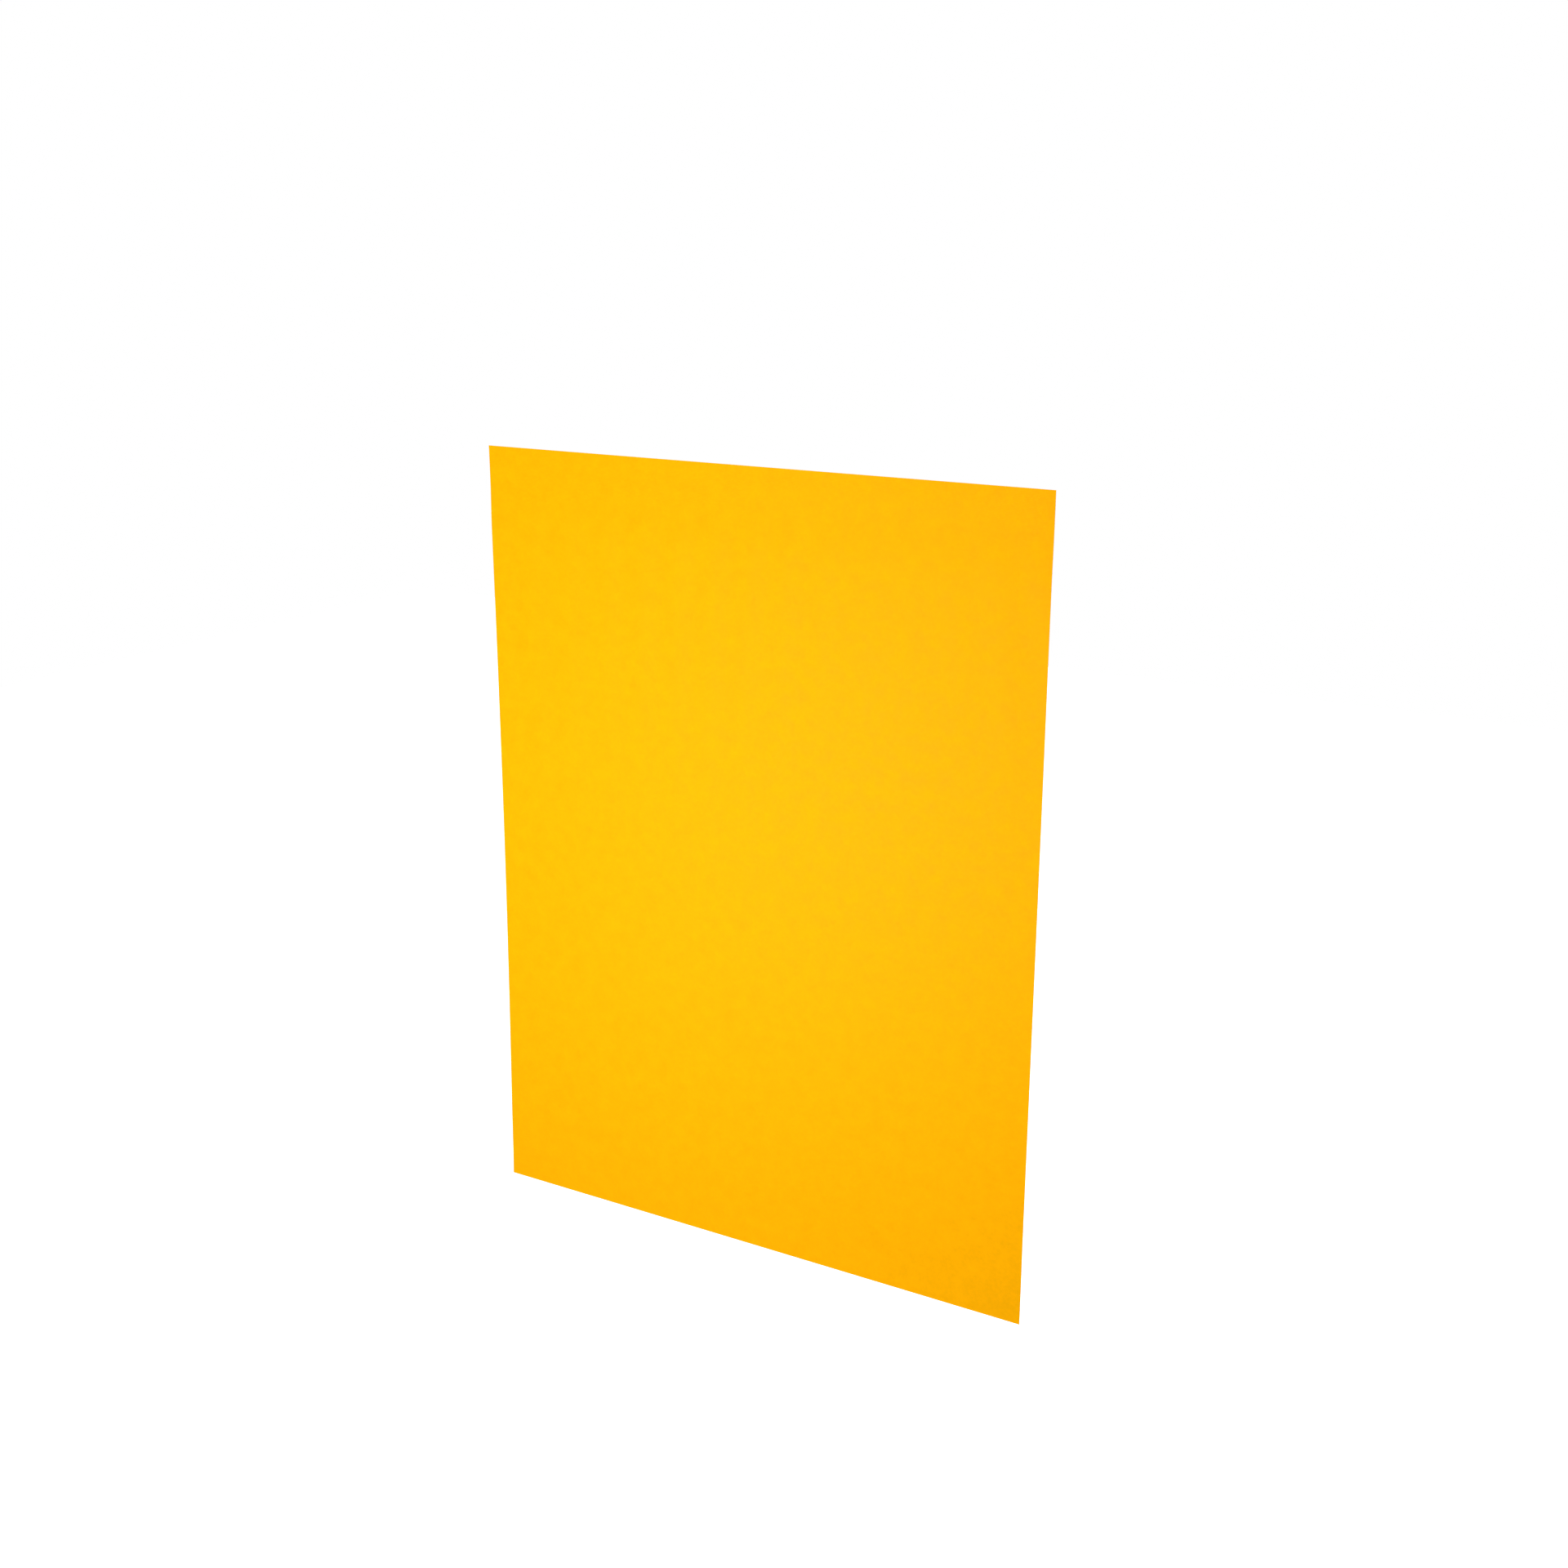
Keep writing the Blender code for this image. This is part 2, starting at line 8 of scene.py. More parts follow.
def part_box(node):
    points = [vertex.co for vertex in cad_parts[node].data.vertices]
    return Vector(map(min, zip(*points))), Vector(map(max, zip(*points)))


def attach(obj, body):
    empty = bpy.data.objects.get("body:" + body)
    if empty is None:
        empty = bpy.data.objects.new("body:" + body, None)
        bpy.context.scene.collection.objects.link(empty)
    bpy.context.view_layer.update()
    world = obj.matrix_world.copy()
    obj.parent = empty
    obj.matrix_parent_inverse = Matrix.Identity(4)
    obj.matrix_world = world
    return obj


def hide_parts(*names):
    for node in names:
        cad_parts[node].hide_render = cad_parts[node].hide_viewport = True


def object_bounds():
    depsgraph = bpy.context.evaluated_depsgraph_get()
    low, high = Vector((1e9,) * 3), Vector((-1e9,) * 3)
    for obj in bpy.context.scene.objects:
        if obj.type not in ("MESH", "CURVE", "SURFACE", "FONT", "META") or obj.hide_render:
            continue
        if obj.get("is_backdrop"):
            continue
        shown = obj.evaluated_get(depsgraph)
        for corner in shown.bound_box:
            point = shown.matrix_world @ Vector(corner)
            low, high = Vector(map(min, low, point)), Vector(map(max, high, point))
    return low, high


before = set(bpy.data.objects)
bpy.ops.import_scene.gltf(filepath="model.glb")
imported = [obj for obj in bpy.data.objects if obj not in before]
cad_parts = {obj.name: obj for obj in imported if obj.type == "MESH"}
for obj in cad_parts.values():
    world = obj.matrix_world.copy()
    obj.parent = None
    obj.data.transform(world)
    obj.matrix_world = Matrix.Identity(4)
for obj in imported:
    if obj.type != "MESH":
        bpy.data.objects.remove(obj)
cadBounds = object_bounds()
scene = bpy.context.scene

# The rail's axis, which everything is placed from
tubeLow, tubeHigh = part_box("rail_tube")
railY = (tubeLow.y + tubeHigh.y) / 2
railZ = (tubeLow.z + tubeHigh.z) / 2
railRadius = (tubeHigh.z - tubeLow.z) / 2
hookCount = 4  # each with a sleeve and two screws
gap = 0.0003  # between pieces that touch
railSides = 96  # of the round pieces on the rail
mergeDistance = 1e-6
sharpAngle = 40  # degrees, from which an edge is rounded
sameWay = 0.99  # the cosine from which two directions count as one
cleanCut = {"scale": 1000, "merge": 0.002, "sliver": 0.001}  # millimetres, once scaled


# Shapes

def spun(profile, sides, closed=False):
    # A profile of (place along the axis, radius), turned once round the X axis
    bm = bmesh.new()
    points = [bm.verts.new((x, 0, radius)) for x, radius in profile]
    edges = [bm.edges.new(pair) for pair in zip(points, points[1:])]
    if closed:
        edges.append(bm.edges.new((points[-1], points[0])))
    bmesh.ops.spin(
        bm,
        geom=points + edges,
        cent=(0, 0, 0),
        axis=(1, 0, 0),
        angle=2 * math.pi,
        steps=sides,
        use_merge=True,
    )
    bmesh.ops.remove_doubles(bm, verts=bm.verts, dist=mergeDistance)
    bmesh.ops.recalc_face_normals(bm, faces=bm.faces)
    return bm


def ring(inner, outer, width, sides=railSides):
    half = width / 2
    return spun([(-half, inner), (half, inner), (half, outer), (-half, outer)], sides, True)


def peg(radius, start, end, sides=32):
    return spun([(start, 0), (start, radius), (end, radius), (end, 0)], sides)


def hexSocket(flats, top, depth):
    # The cutter for a hexagon socket that opens at the height top
    return peg(flats / math.sqrt(3), top - depth, top + depth, sides=6)


def block(low, high):
    bm = bmesh.new()
    bmesh.ops.create_cube(bm, size=1)
    bmesh.ops.scale(bm, vec=Vector(high) - Vector(low), verts=bm.verts)
    bmesh.ops.translate(bm, vec=(Vector(low) + Vector(high)) / 2, verts=bm.verts)
    return bm


def acrossX(outline, width):
    # A (y, z) outline swept along X, with its middle at x = 0
    bm = bmesh.new()
    start = bm.faces.new([bm.verts.new((-width / 2, y, z)) for y, z in outline])
    swept = bmesh.ops.extrude_face_region(bm, geom=[start])["geom"]
    fresh = [v for v in swept if isinstance(v, bmesh.types.BMVert)]
    bmesh.ops.translate(bm, vec=(width, 0, 0), verts=fresh)
    bmesh.ops.recalc_face_normals(bm, faces=bm.faces)
    return bm


def soften(bm, width, segments=2, only=None):
    # Rounds the sharp edges, or those of them that a test picks
    sharp = [
        edge
        for edge in bm.edges
        if edge.is_manifold
        and edge.calc_face_angle() > math.radians(sharpAngle)
        and (only is None or only(edge))
    ]
    bmesh.ops.bevel(
        bm,
        geom=sharp,
        offset=width,
        offset_type="OFFSET",
        affect="EDGES",
        segments=segments,
        profile=0.5,
        material=-1,
        clamp_overlap=True,
    )
    return bm


def along(axis):
    # A test for edges that run along one axis: 0 is X, 1 is Y and 2 is Z
    def runs(edge):
        way = edge.verts[1].co - edge.verts[0].co
        return abs(way[axis]) > sameWay * way.length

    return runs


def placed(bm, place=(0, 0, 0), turn=0, axis="X"):
    bmesh.ops.rotate(
        bm, cent=(0, 0, 0), matrix=Matrix.Rotation(turn, 3, axis), verts=bm.verts
    )
    bmesh.ops.translate(bm, vec=place, verts=bm.verts)
    return bm


def upright(bm, turn=0, place=(0, 0, 0)):
    # Stands a shape of the X axis on the Z axis, then turns it about X and moves it
    placed(bm, turn=-math.pi / 2, axis="Y")
    return placed(bm, place, turn)


def toMesh(bm, name):
    bmesh.ops.remove_doubles(bm, verts=bm.verts, dist=mergeDistance)
    bmesh.ops.recalc_face_normals(bm, faces=bm.faces)
    mesh = bpy.data.meshes.new(name)
    bm.to_mesh(mesh)
    bm.free()
    return mesh


def joined(name, base, added=(), cut=()):
    # One closed mesh from shapes that overlap, with others cut out of it. Small cuts come
    # out cleaner in millimetres.
    whole = bpy.data.objects.new(name, toMesh(base, name))
    helpers = [whole]
    for operation, shapes in (("UNION", added), ("DIFFERENCE", cut)):
        for shape in shapes:
            helper = bpy.data.objects.new("helper", toMesh(shape, "helper"))
            boolean = whole.modifiers.new(operation, "BOOLEAN")
            boolean.operation = operation
            boolean.object = helper
            helpers.append(helper)
    for helper in helpers:
        helper.data.transform(Matrix.Scale(cleanCut["scale"], 4))
        scene.collection.objects.link(helper)
    view = bpy.context.evaluated_depsgraph_get()
    bm = bmesh.new()
    bm.from_mesh(bpy.data.meshes.new_from_object(whole.evaluated_get(view)))
    bmesh.ops.remove_doubles(bm, verts=bm.verts, dist=cleanCut["merge"])
    bmesh.ops.dissolve_degenerate(bm, dist=cleanCut["sliver"], edges=bm.edges)
    bmesh.ops.scale(bm, vec=[1 / cleanCut["scale"]] * 3, verts=bm.verts)
    for helper in helpers:
        bpy.data.objects.remove(helper, do_unlink=True)
    return toMesh(bm, name)


def copyAt(mesh, place, turn=0):
    copy = mesh.copy()
    copy.transform(Matrix.Translation(place) @ Matrix.Rotation(turn, 4, "X"))
    return copy


def middleX(node):
    low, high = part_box(node)
    return (low.x + high.x) / 2


def onRail(x, forward=0, up=0):
    # A place given from the rail's axis: towards the room, and up
    return Vector((x, railY - forward, railZ + up))


def addPiece(name, mesh, material, body, node, angle=35):
    mesh.shade_smooth()
    mesh.set_sharp_from_angle(angle=math.radians(angle))
    mesh.materials.clear()
    mesh.materials.append(material)
    piece = bpy.data.objects.new(name, mesh)
    scene.collection.objects.link(piece)
    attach(piece, body)
    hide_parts(node)
    return piece


# Materials

def makeNode(tree, kind, sockets, **values):
    node = tree.nodes.new(kind)
    for key, value in values.items():
        setattr(node, key, value)
    for key, value in sockets.items():
        if isinstance(value, bpy.types.NodeSocket):
            tree.links.new(value, node.inputs[key])
        else:
            node.inputs[key].default_value = value
    return node


def startMaterial(name, metallic, specular=0.5):
    material = bpy.data.materials.new(name)
    material.use_nodes = True
    tree = material.node_tree
    shader = tree.nodes["Principled BSDF"]
    shader.inputs["Metallic"].default_value = metallic
    shader.inputs["Specular IOR Level"].default_value = specular
    where = tree.nodes.new("ShaderNodeTexCoord").outputs["Object"]
    return material, tree, shader, where


def noiseOf(tree, where, size, detail=3, stretch=(1, 1, 1)):
    # Noise whose features are about this size in metres, longer where stretch is more than 1
    mapping = makeNode(
        tree,
        "ShaderNodeMapping",
        {"Vector": where, "Scale": [1 / (size * share) for share in stretch]},
    )
    return makeNode(
        tree, "ShaderNodeTexNoise", {"Vector": mapping.outputs[0], "Scale": 1, "Detail": detail}
    ).outputs["Fac"]


def spread(tree, value, low, high, fromLow=0.3, fromHigh=0.7):
    return makeNode(
        tree,
        "ShaderNodeMapRange",
        {
            "Value": value,
            "From Min": fromLow,
            "From Max": fromHigh,
            "To Min": low,
            "To Max": high,
        },
    ).outputs[0]


def mixColours(tree, share, first, second):
    node = makeNode(tree, "ShaderNodeMix", {"Factor": share}, data_type="RGBA")
    node.inputs[6].default_value = (*first, 1)
    node.inputs[7].default_value = (*second, 1)
    return node.outputs[2]


def twoTone(tree, value, look):
    # From the finish's first colour to its second, as the value crosses the finish's range
    return mixColours(tree, spread(tree, value, 0, 1, *look["range"]), *look["colours"])


def bumped(tree, shader, *layers):
    # Each layer is a height from 0 to 1 and its depth in metres
    normal = None
    for height, depth in layers:
        sockets = {"Height": height, "Strength": 1.0, "Distance": depth}
        if normal:
            sockets["Normal"] = normal
        normal = makeNode(tree, "ShaderNodeBump", sockets).outputs[0]
    tree.links.new(normal, shader.inputs["Normal"])


def joinTo(tree, shader, colour=None, roughness=None):
    if colour:
        tree.links.new(colour, shader.inputs["Base Color"])
    if roughness:
        tree.links.new(roughness, shader.inputs["Roughness"])


galvanisedLook = {
    "colours": ((0.50, 0.52, 0.53), (0.60, 0.62, 0.63)),
    "roughness": (0.36, 0.5),
    "crystals": 330,  # to a metre
    "crystalDepth": 0.000006,
    "haze": 0.02,
    "hazeDepth": 0.0002,
}


def galvanisedFinish():
    # Zinc crystals a few millimetres across, dulled by handling
    look = galvanisedLook
    material, tree, shader, where = startMaterial("galvanisedSteel", 1.0)
    crystals = makeNode(
        tree,
        "ShaderNodeTexVoronoi",
        {"Vector": where, "Scale": look["crystals"], "Randomness": 1.0},
    )
    shade = makeNode(tree, "ShaderNodeSeparateColor", {0: crystals.outputs["Color"]}).outputs[0]
    haze = noiseOf(tree, where, look["haze"])
    colour = mixColours(tree, shade, *look["colours"])
    joinTo(tree, shader, colour, spread(tree, haze, *look["roughness"]))
    bumped(tree, shader, (haze, look["hazeDepth"]), (shade, look["crystalDepth"]))
    return material


zincLook = {
    "colours": ((0.70, 0.69, 0.64), (0.62, 0.66, 0.70)),
    "range": (0.3, 0.7),
    "roughness": (0.24, 0.42),
    "cast": 0.018,
    "grain": 0.0009,
    "grainDepth": 0.00002,
    "swell": 0.006,
    "swellDepth": 0.00005,
}


def zincFinish():
    # Bright plating with a faint warm and blue cast, and fine rolled grain
    look = zincLook
    material, tree, shader, where = startMaterial("zincPlate", 1.0)
    cast = noiseOf(tree, where, look["cast"], detail=2)
    grain = noiseOf(tree, where, look["grain"], detail=4)
    swell = noiseOf(tree, where, look["swell"])
    joinTo(tree, shader, twoTone(tree, cast, look), spread(tree, grain, *look["roughness"]))
    bumped(tree, shader, (grain, look["grainDepth"]), (swell, look["swellDepth"]))
    return material


stainlessLook = {
    "colours": ((0.60, 0.59, 0.57), (0.68, 0.67, 0.65)),
    "range": (0.3, 0.7),
    "roughness": (0.2, 0.4),
    "line": 0.0006,
    "lineStretch": (0.5, 14, 14),
    "lineDepth": 0.00001,
    "smear": 0.012,
}


def stainlessFinish():
    # Rolled strip: fine lines across the rail
    look = stainlessLook
    material, tree, shader, where = startMaterial("stainlessSteel", 1.0)
    lines = noiseOf(tree, where, look["line"], stretch=look["lineStretch"])
    smears = noiseOf(tree, where, look["smear"], detail=2)
    joinTo(tree, shader, twoTone(tree, smears, look), spread(tree, lines, *look["roughness"]))
    bumped(tree, shader, (lines, look["lineDepth"]))
    return material


blackSteelLook = {
    "colours": ((0.035, 0.035, 0.04), (0.11, 0.10, 0.10)),
    "range": (0.45, 0.75),
    "roughness": (0.3, 0.48),
    "wear": 0.0016,
    "wearDepth": 0.00002,
}


def blackSteelFinish():
    look = blackSteelLook
    material, tree, shader, where = startMaterial("blackSteel", 1.0)
    worn = noiseOf(tree, where, look["wear"], detail=4)
    joinTo(tree, shader, twoTone(tree, worn, look), spread(tree, worn, *look["roughness"]))
    bumped(tree, shader, (worn, look["wearDepth"]))
    return material


aluminiumLook = {
    "colours": ((0.74, 0.75, 0.76), (0.84, 0.84, 0.84)),
    "range": (0.3, 0.7),
    "roughness": (0.3, 0.48),
    "line": 0.0005,
    "lineStretch": (120, 1, 1),
    "lineDepth": 0.00001,
    "streak": 0.004,
    "streakStretch": (40, 1, 1),
}


def aluminiumFinish():
    # Mill finish: long drawn lines and a few darker streaks along the bar
    look = aluminiumLook
    material, tree, shader, where = startMaterial("millAluminium", 1.0)
    lines = noiseOf(tree, where, look["line"], stretch=look["lineStretch"])
    streaks = noiseOf(tree, where, look["streak"], detail=2, stretch=look["streakStretch"])
    joinTo(tree, shader, twoTone(tree, streaks, look), spread(tree, lines, *look["roughness"]))
    bumped(tree, shader, (lines, look["lineDepth"]))
    return material


nylonLook = {
    "colours": ((0.018, 0.018, 0.02), (0.04, 0.04, 0.042)),
    "range": (0.5, 0.8),
    "roughness": (0.4, 0.6),
    "scuff": 0.006,
    "grain": 0.0007,
    "grainDepth": 0.00003,
}


def nylonFinish():
    look = nylonLook
    material, tree, shader, where = startMaterial("blackNylon", 0.0)
    grain = noiseOf(tree, where, look["grain"])
    scuffs = noiseOf(tree, where, look["scuff"], detail=4)
    joinTo(tree, shader, twoTone(tree, scuffs, look), spread(tree, scuffs, *look["roughness"]))
    bumped(tree, shader, (grain, look["grainDepth"]))
    return material


rubberLook = {
    "colours": ((0.05, 0.05, 0.052), (0.10, 0.10, 0.10)),
    "range": (0.4, 0.75),
    "roughness": (0.7, 0.88),
    "specular": 0.35,
    "dust": 0.005,
    "grain": 0.0008,
    "grainDepth": 0.00006,
}


def rubberFinish():
    look = rubberLook
    material, tree, shader, where = startMaterial("greyRubber", 0.0, look["specular"])
    grain = noiseOf(tree, where, look["grain"], detail=4)
    dust = noiseOf(tree, where, look["dust"])
    joinTo(tree, shader, twoTone(tree, dust, look), spread(tree, grain, *look["roughness"]))
    bumped(tree, shader, (grain, look["grainDepth"]))
    return material


# Cloth

cloth = {
    "colour": (0.97, 0.42, 0.0),
    "shadeRange": 0.06,  # lighter and darker patches in the coating
    "shadeSpan": (0.6, 1.4),  # of the two noises together, from darkest to lightest
    "specular": 0.02,
    "roughness": (0.40, 0.50),
    "pebble": 0.0075,
    "pebbleDepth": 0.00006,
    "mottle": 0.035,
    "threadPitch": 0.0024,
    "knurlPitch": 0.0018,
    "pressDepth": 0.00012,
    "thickness": 0.0006,
    "columns": 196,
    "rows": 240,
    "edgeDraw": 0.007,  # how far the left edge runs in at mid-height
    "rippleDepth": 0.0011,
    "ripplePitch": 0.094,
    "rippleReach": 0.34,  # share of the height in which the ripples die out
    "rippleHeld": 0.12,  # share of the ripples that is left over the bars
    "rippleWander": 5,
    "wanderScale": (1.7, 0.9),
    "wanderSeed": (0.0, 3.1),
    "billow": 0.0022,
    "billowScale": (1.3, 1.1),
    "billowSeed": (7.0, 0.4),
    "topEase": 0.12,  # height over which the cloth comes free of the top bar
    "footEase": 0.15,
    "seamGap": 0.00015,
}
bandPitch = math.pi / 10  # of the wave texture at a scale of 1
sheetLow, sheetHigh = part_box("curtain_sheet")
sheetHeight = sheetHigh.z - sheetLow.z
barLow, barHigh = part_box("top_bar")
weightLow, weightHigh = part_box("weight_bar")


def weave(tree, where, pitch, turn=0):
    # Threads that cross, as a height from 0 to 1
    mapping = makeNode(
        tree,
        "ShaderNodeMapping",
        {"Vector": where, "Rotation": (0, turn, 0), "Scale": [bandPitch / pitch] * 3},
    )
    threads = [
        makeNode(
            tree,
            "ShaderNodeTexWave",
            {"Vector": mapping.outputs[0], "Scale": 1.0},
            bands_direction=direction,
        ).outputs["Fac"]
        for direction in ("X", "Z")
    ]
    return makeNode(
        tree, "ShaderNodeMath", {0: threads[0], 1: threads[1]}, operation="MULTIPLY"
    ).outputs[0]


def clothFinish():
    # A woven core under a waxy coating, pressed with a knurled bar where it is welded
    material, tree, shader, where = startMaterial("yellowCoatedCloth", 0.0, cloth["specular"])
    pebbles = noiseOf(tree, where, cloth["pebble"])
    mottle = noiseOf(tree, where, cloth["mottle"], detail=2)
    both = makeNode(tree, "ShaderNodeMath", {0: pebbles, 1: mottle}, operation="ADD").outputs[0]
    shift = cloth["shadeRange"]
    shade = spread(tree, both, 1 - shift, 1 + shift, *cloth["shadeSpan"])
    tinted = makeNode(
        tree, "ShaderNodeVectorMath", {0: cloth["colour"], "Scale": shade}, operation="SCALE"
    )
    joinTo(tree, shader, tinted.outputs[0], spread(tree, mottle, *cloth["roughness"]))
    weld = makeNode(tree, "ShaderNodeAttribute", {}, attribute_name="weld").outputs["Fac"]
    pressed = makeNode(
        tree,
        "ShaderNodeMix",
        {
            "Factor": weld,
            "A": weave(tree, where, cloth["threadPitch"]),
            "B": weave(tree, where, cloth["knurlPitch"], math.pi / 4),
        },
    ).outputs[0]
    bumped(tree, shader, (pebbles, cloth["pebbleDepth"]), (pressed, cloth["pressDepth"]))
    return material


def easeIn(value):
    value = max(0.0, min(1.0, value))
    return value * value * (3 - 2 * value)


def slowNoise(x, z, scale, seed):
    # Noise that changes over about a metre, from -1 to 1
    return noise.noise(Vector((x * scale[0] + seed[0], seed[1], z * scale[1])))


def standsOut(x, z):
    # How far the hung cloth stands in front of its flat plane, bars and seams included
    fromTop = (sheetHigh.z - z) / sheetHeight
    free = easeIn((barLow.z - z) / cloth["topEase"])
    free *= easeIn((z - weightHigh.z) / cloth["footEase"])
    wander = cloth["rippleWander"] * slowNoise(x, z, cloth["wanderScale"], cloth["wanderSeed"])
    wave = 0.5 + 0.5 * math.cos(2 * math.pi * x / cloth["ripplePitch"] + wander)
    fade = math.exp(-((fromTop / cloth["rippleReach"]) ** 2))
    swell = 0.5 + 0.5 * slowNoise(x, z, cloth["billowScale"], cloth["billowSeed"])
    held = cloth["rippleHeld"] + (1 - cloth["rippleHeld"]) * free
    return cloth["rippleDepth"] * held * fade * wave + cloth["billow"] * free * swell


def sideAt(side, z):
    # The x of the curtain's side edge at this height
    share = (z - sheetLow.z) / sheetHeight
    draw = cloth["edgeDraw"] * 4 * share * (1 - share)
    return sheetLow.x + draw if side < 0 else sheetHigh.x


def addCloth(name, bm, material, node):
    # Cloth is made as its front face, and its thickness goes backwards
    bmesh.ops.recalc_face_normals(bm, faces=bm.faces)
    if sum(face.normal.y * face.calc_area() for face in bm.faces) > 0:
        bmesh.ops.reverse_faces(bm, faces=bm.faces)
    mesh = bpy.data.meshes.new(name)
    bm.to_mesh(mesh)
    rim = [edge.is_boundary for edge in bm.edges]
    bm.free()
    piece = addPiece(name, mesh, material, "curtain", node)
    mesh.edges.foreach_set("use_edge_sharp", rim)
    wall = piece.modifiers.new("thickness", "SOLIDIFY")
    wall.thickness = cloth["thickness"]
    wall.offset = -1
    wall.use_even_offset = True
    return piece


def makeSheet(material):
    bm = bmesh.new()
    bmesh.ops.create_grid(bm, x_segments=cloth["columns"], y_segments=cloth["rows"], size=0.5)
    for vert in bm.verts:
        z = sheetLow.z + (vert.co.y + 0.5) * sheetHeight
        left, right = sideAt(-1, z), sideAt(1, z)
        x = left + (vert.co.x + 0.5) * (right - left)
        vert.co = (x, sheetLow.y - standsOut(x, z), z)
    return addCloth("curtainSheet", bm, material, "curtain_sheet")


# Side hems

hem = {
    "width": 0.025,
    "inset": 0.0006,
    "margin": 0.0025,  # along each edge, where the weld fades out
    "end": 0.0203,  # left free between the hem and each bar
    "columns": 10,
    "rows": 200,
}


def makeHems(material):
    low = weightHigh.z + hem["end"]
    high = barLow.z - hem["end"]
    for side, name in ((-1, "left"), (1, "right")):
        bm = bmesh.new()
        weld = bm.verts.layers.float.new("weld")
        bmesh.ops.create_grid(bm, x_segments=hem["columns"], y_segments=hem["rows"], size=0.5)
        for vert in bm.verts:
            across = vert.co.x + 0.5
            z = low + (vert.co.y + 0.5) * (high - low)
            edge = abs(across - 0.5) * hem["width"]
            vert[weld] = easeIn((hem["width"] / 2 - edge) / hem["margin"])
            x = sideAt(side, z) - side * (hem["inset"] + across * hem["width"])
            back = sheetLow.y - standsOut(x, z) + cloth["thickness"] + cloth["seamGap"]
            vert.co = (x, back, z)
        addCloth("sideHem" + name.title(), bm, material, "side_hem_" + name)


# Pockets round the bars

pocket = {
    "inset": 0.006,
    "columns": 152,
    "weldNarrow": 0.0097,
    "weldWide": 0.020,
    "tentNarrow": 0.0042,  # the part of a weld strip that lifts off towards the bar
    "tentWide": 0.0085,
    "clearance": 0.0004,
    "weldFade": 0.0015,
    "wrinkle": 0.0003,
    "wrinkleScale": (40, 20, 60),
    "bendRise": 0.25,  # how far past the bar's edge the bend ends, as a share of the tent
    "bendReach": 0.45,  # the bend's handle at the sheet, as a share of its height
    "bendPull": 0.7,  # the handle at the bar, as a share of the one at the sheet
    "bendPoints": 10,
    "flatSteps": 4,
}


def sweptAlongX(path, places, weldOf):
    # A (y, z) path swept along X as one sheet, each point keeping its weld value
    bm = bmesh.new()
    weld = bm.verts.layers.float.new("weld")
    points = []
    for y, z in path:
        point = bm.verts.new((places[0], y, z))
        point[weld] = weldOf(z)
        points.append(point)
    edges = [bm.edges.new(pair) for pair in zip(points, points[1:])]
    for start, end in zip(places, places[1:]):
        swept = bmesh.ops.extrude_edge_only(bm, edges=edges)["geom"]
        fresh = {v for v in swept if isinstance(v, bmesh.types.BMVert)}
        bmesh.ops.translate(bm, vec=(end - start, 0, 0), verts=list(fresh))
        found = [e for e in swept if isinstance(e, bmesh.types.BMEdge)]
        edges = [e for e in found if fresh.issuperset(e.verts)]
    return bm


def makePocket(name, node, low, high, weldBelow, weldAbove, material):
    # Flat on the sheet, off it below the bar, up the bar's back, and onto the sheet again
    seam = sheetLow.y + cloth["thickness"] + cloth["seamGap"]
    back = high.y + pocket["clearance"]
    tents = [
        pocket["tentNarrow"] if weld == pocket["weldNarrow"] else pocket["tentWide"]
        for weld in (weldBelow, weldAbove)
    ]

    def lift(flatZ, barZ):
        # The bend from the sheet's back to the bar's back, past the bar's corner
        corner = barZ + (barZ - flatZ) * pocket["bendRise"]
        reach = (corner - flatZ) * pocket["bendReach"]
        points = geometry.interpolate_bezier(
            (seam, flatZ, 0),
            (seam, flatZ + reach, 0),
            (back, corner - reach * pocket["bendPull"], 0),
            (back, corner, 0),
            pocket["bendPoints"],
        )
        return [(point.x, point.y) for point in points]

    lower = lift(low.z - tents[0], low.z)
    upper = lift(high.z + tents[1], high.z)[::-1]
    steps = pocket["flatSteps"]
    foot = low.z - weldBelow
    head = high.z + weldAbove
    path = [(seam, foot + (lower[0][1] - foot) * i / steps) for i in range(steps)]
    path += lower
    rise = upper[0][1] - lower[-1][1]
    path += [(back, lower[-1][1] + rise * i / steps) for i in range(1, steps)]
    path += upper
    rest = head - upper[-1][1]
    path += [(seam, upper[-1][1] + rest * i / steps) for i in range(1, steps + 1)]

    def weldOf(z):
        below = easeIn((low.z - tents[0] - z) / pocket["weldFade"])
        above = easeIn((z - high.z - tents[1]) / pocket["weldFade"])
        return max(below, above)

    half = sheetHigh.x - pocket["inset"]
    places = [-half + 2 * half * i / pocket["columns"] for i in range(pocket["columns"] + 1)]
    bm = sweptAlongX(path, places, weldOf)
    weld = bm.verts.layers.float["weld"]
    for vert in bm.verts:
        x, y, z = vert.co
        onSheet = max(0.0, min(1.0, (back - y) / (back - seam)))
        tent = 4 * onSheet * (1 - onSheet)
        crease = pocket["wrinkle"] * tent * noise.noise(vert.co * Vector(pocket["wrinkleScale"]))
        vert.co.y = y - onSheet * standsOut(x, z) + crease
    return addCloth(name, bm, material, node)


def makePockets(material):
    narrow, wide = pocket["weldNarrow"], pocket["weldWide"]
    for name, node, box, welds in (
        ("topPocket", "top_pocket", (barLow, barHigh), (wide, narrow)),
        ("bottomPocket", "bottom_pocket", (weightLow, weightHigh), (narrow, wide)),
    ):
        piece = makePocket(name, node, *box, *welds, material)
        length = box[1].z - box[0].z + sum(welds) + (box[1].y - box[0].y)


# Stiffening bars

bar = {"round": 0.0008, "holeRadius": 0.0025, "holeDepth": 0.0041}


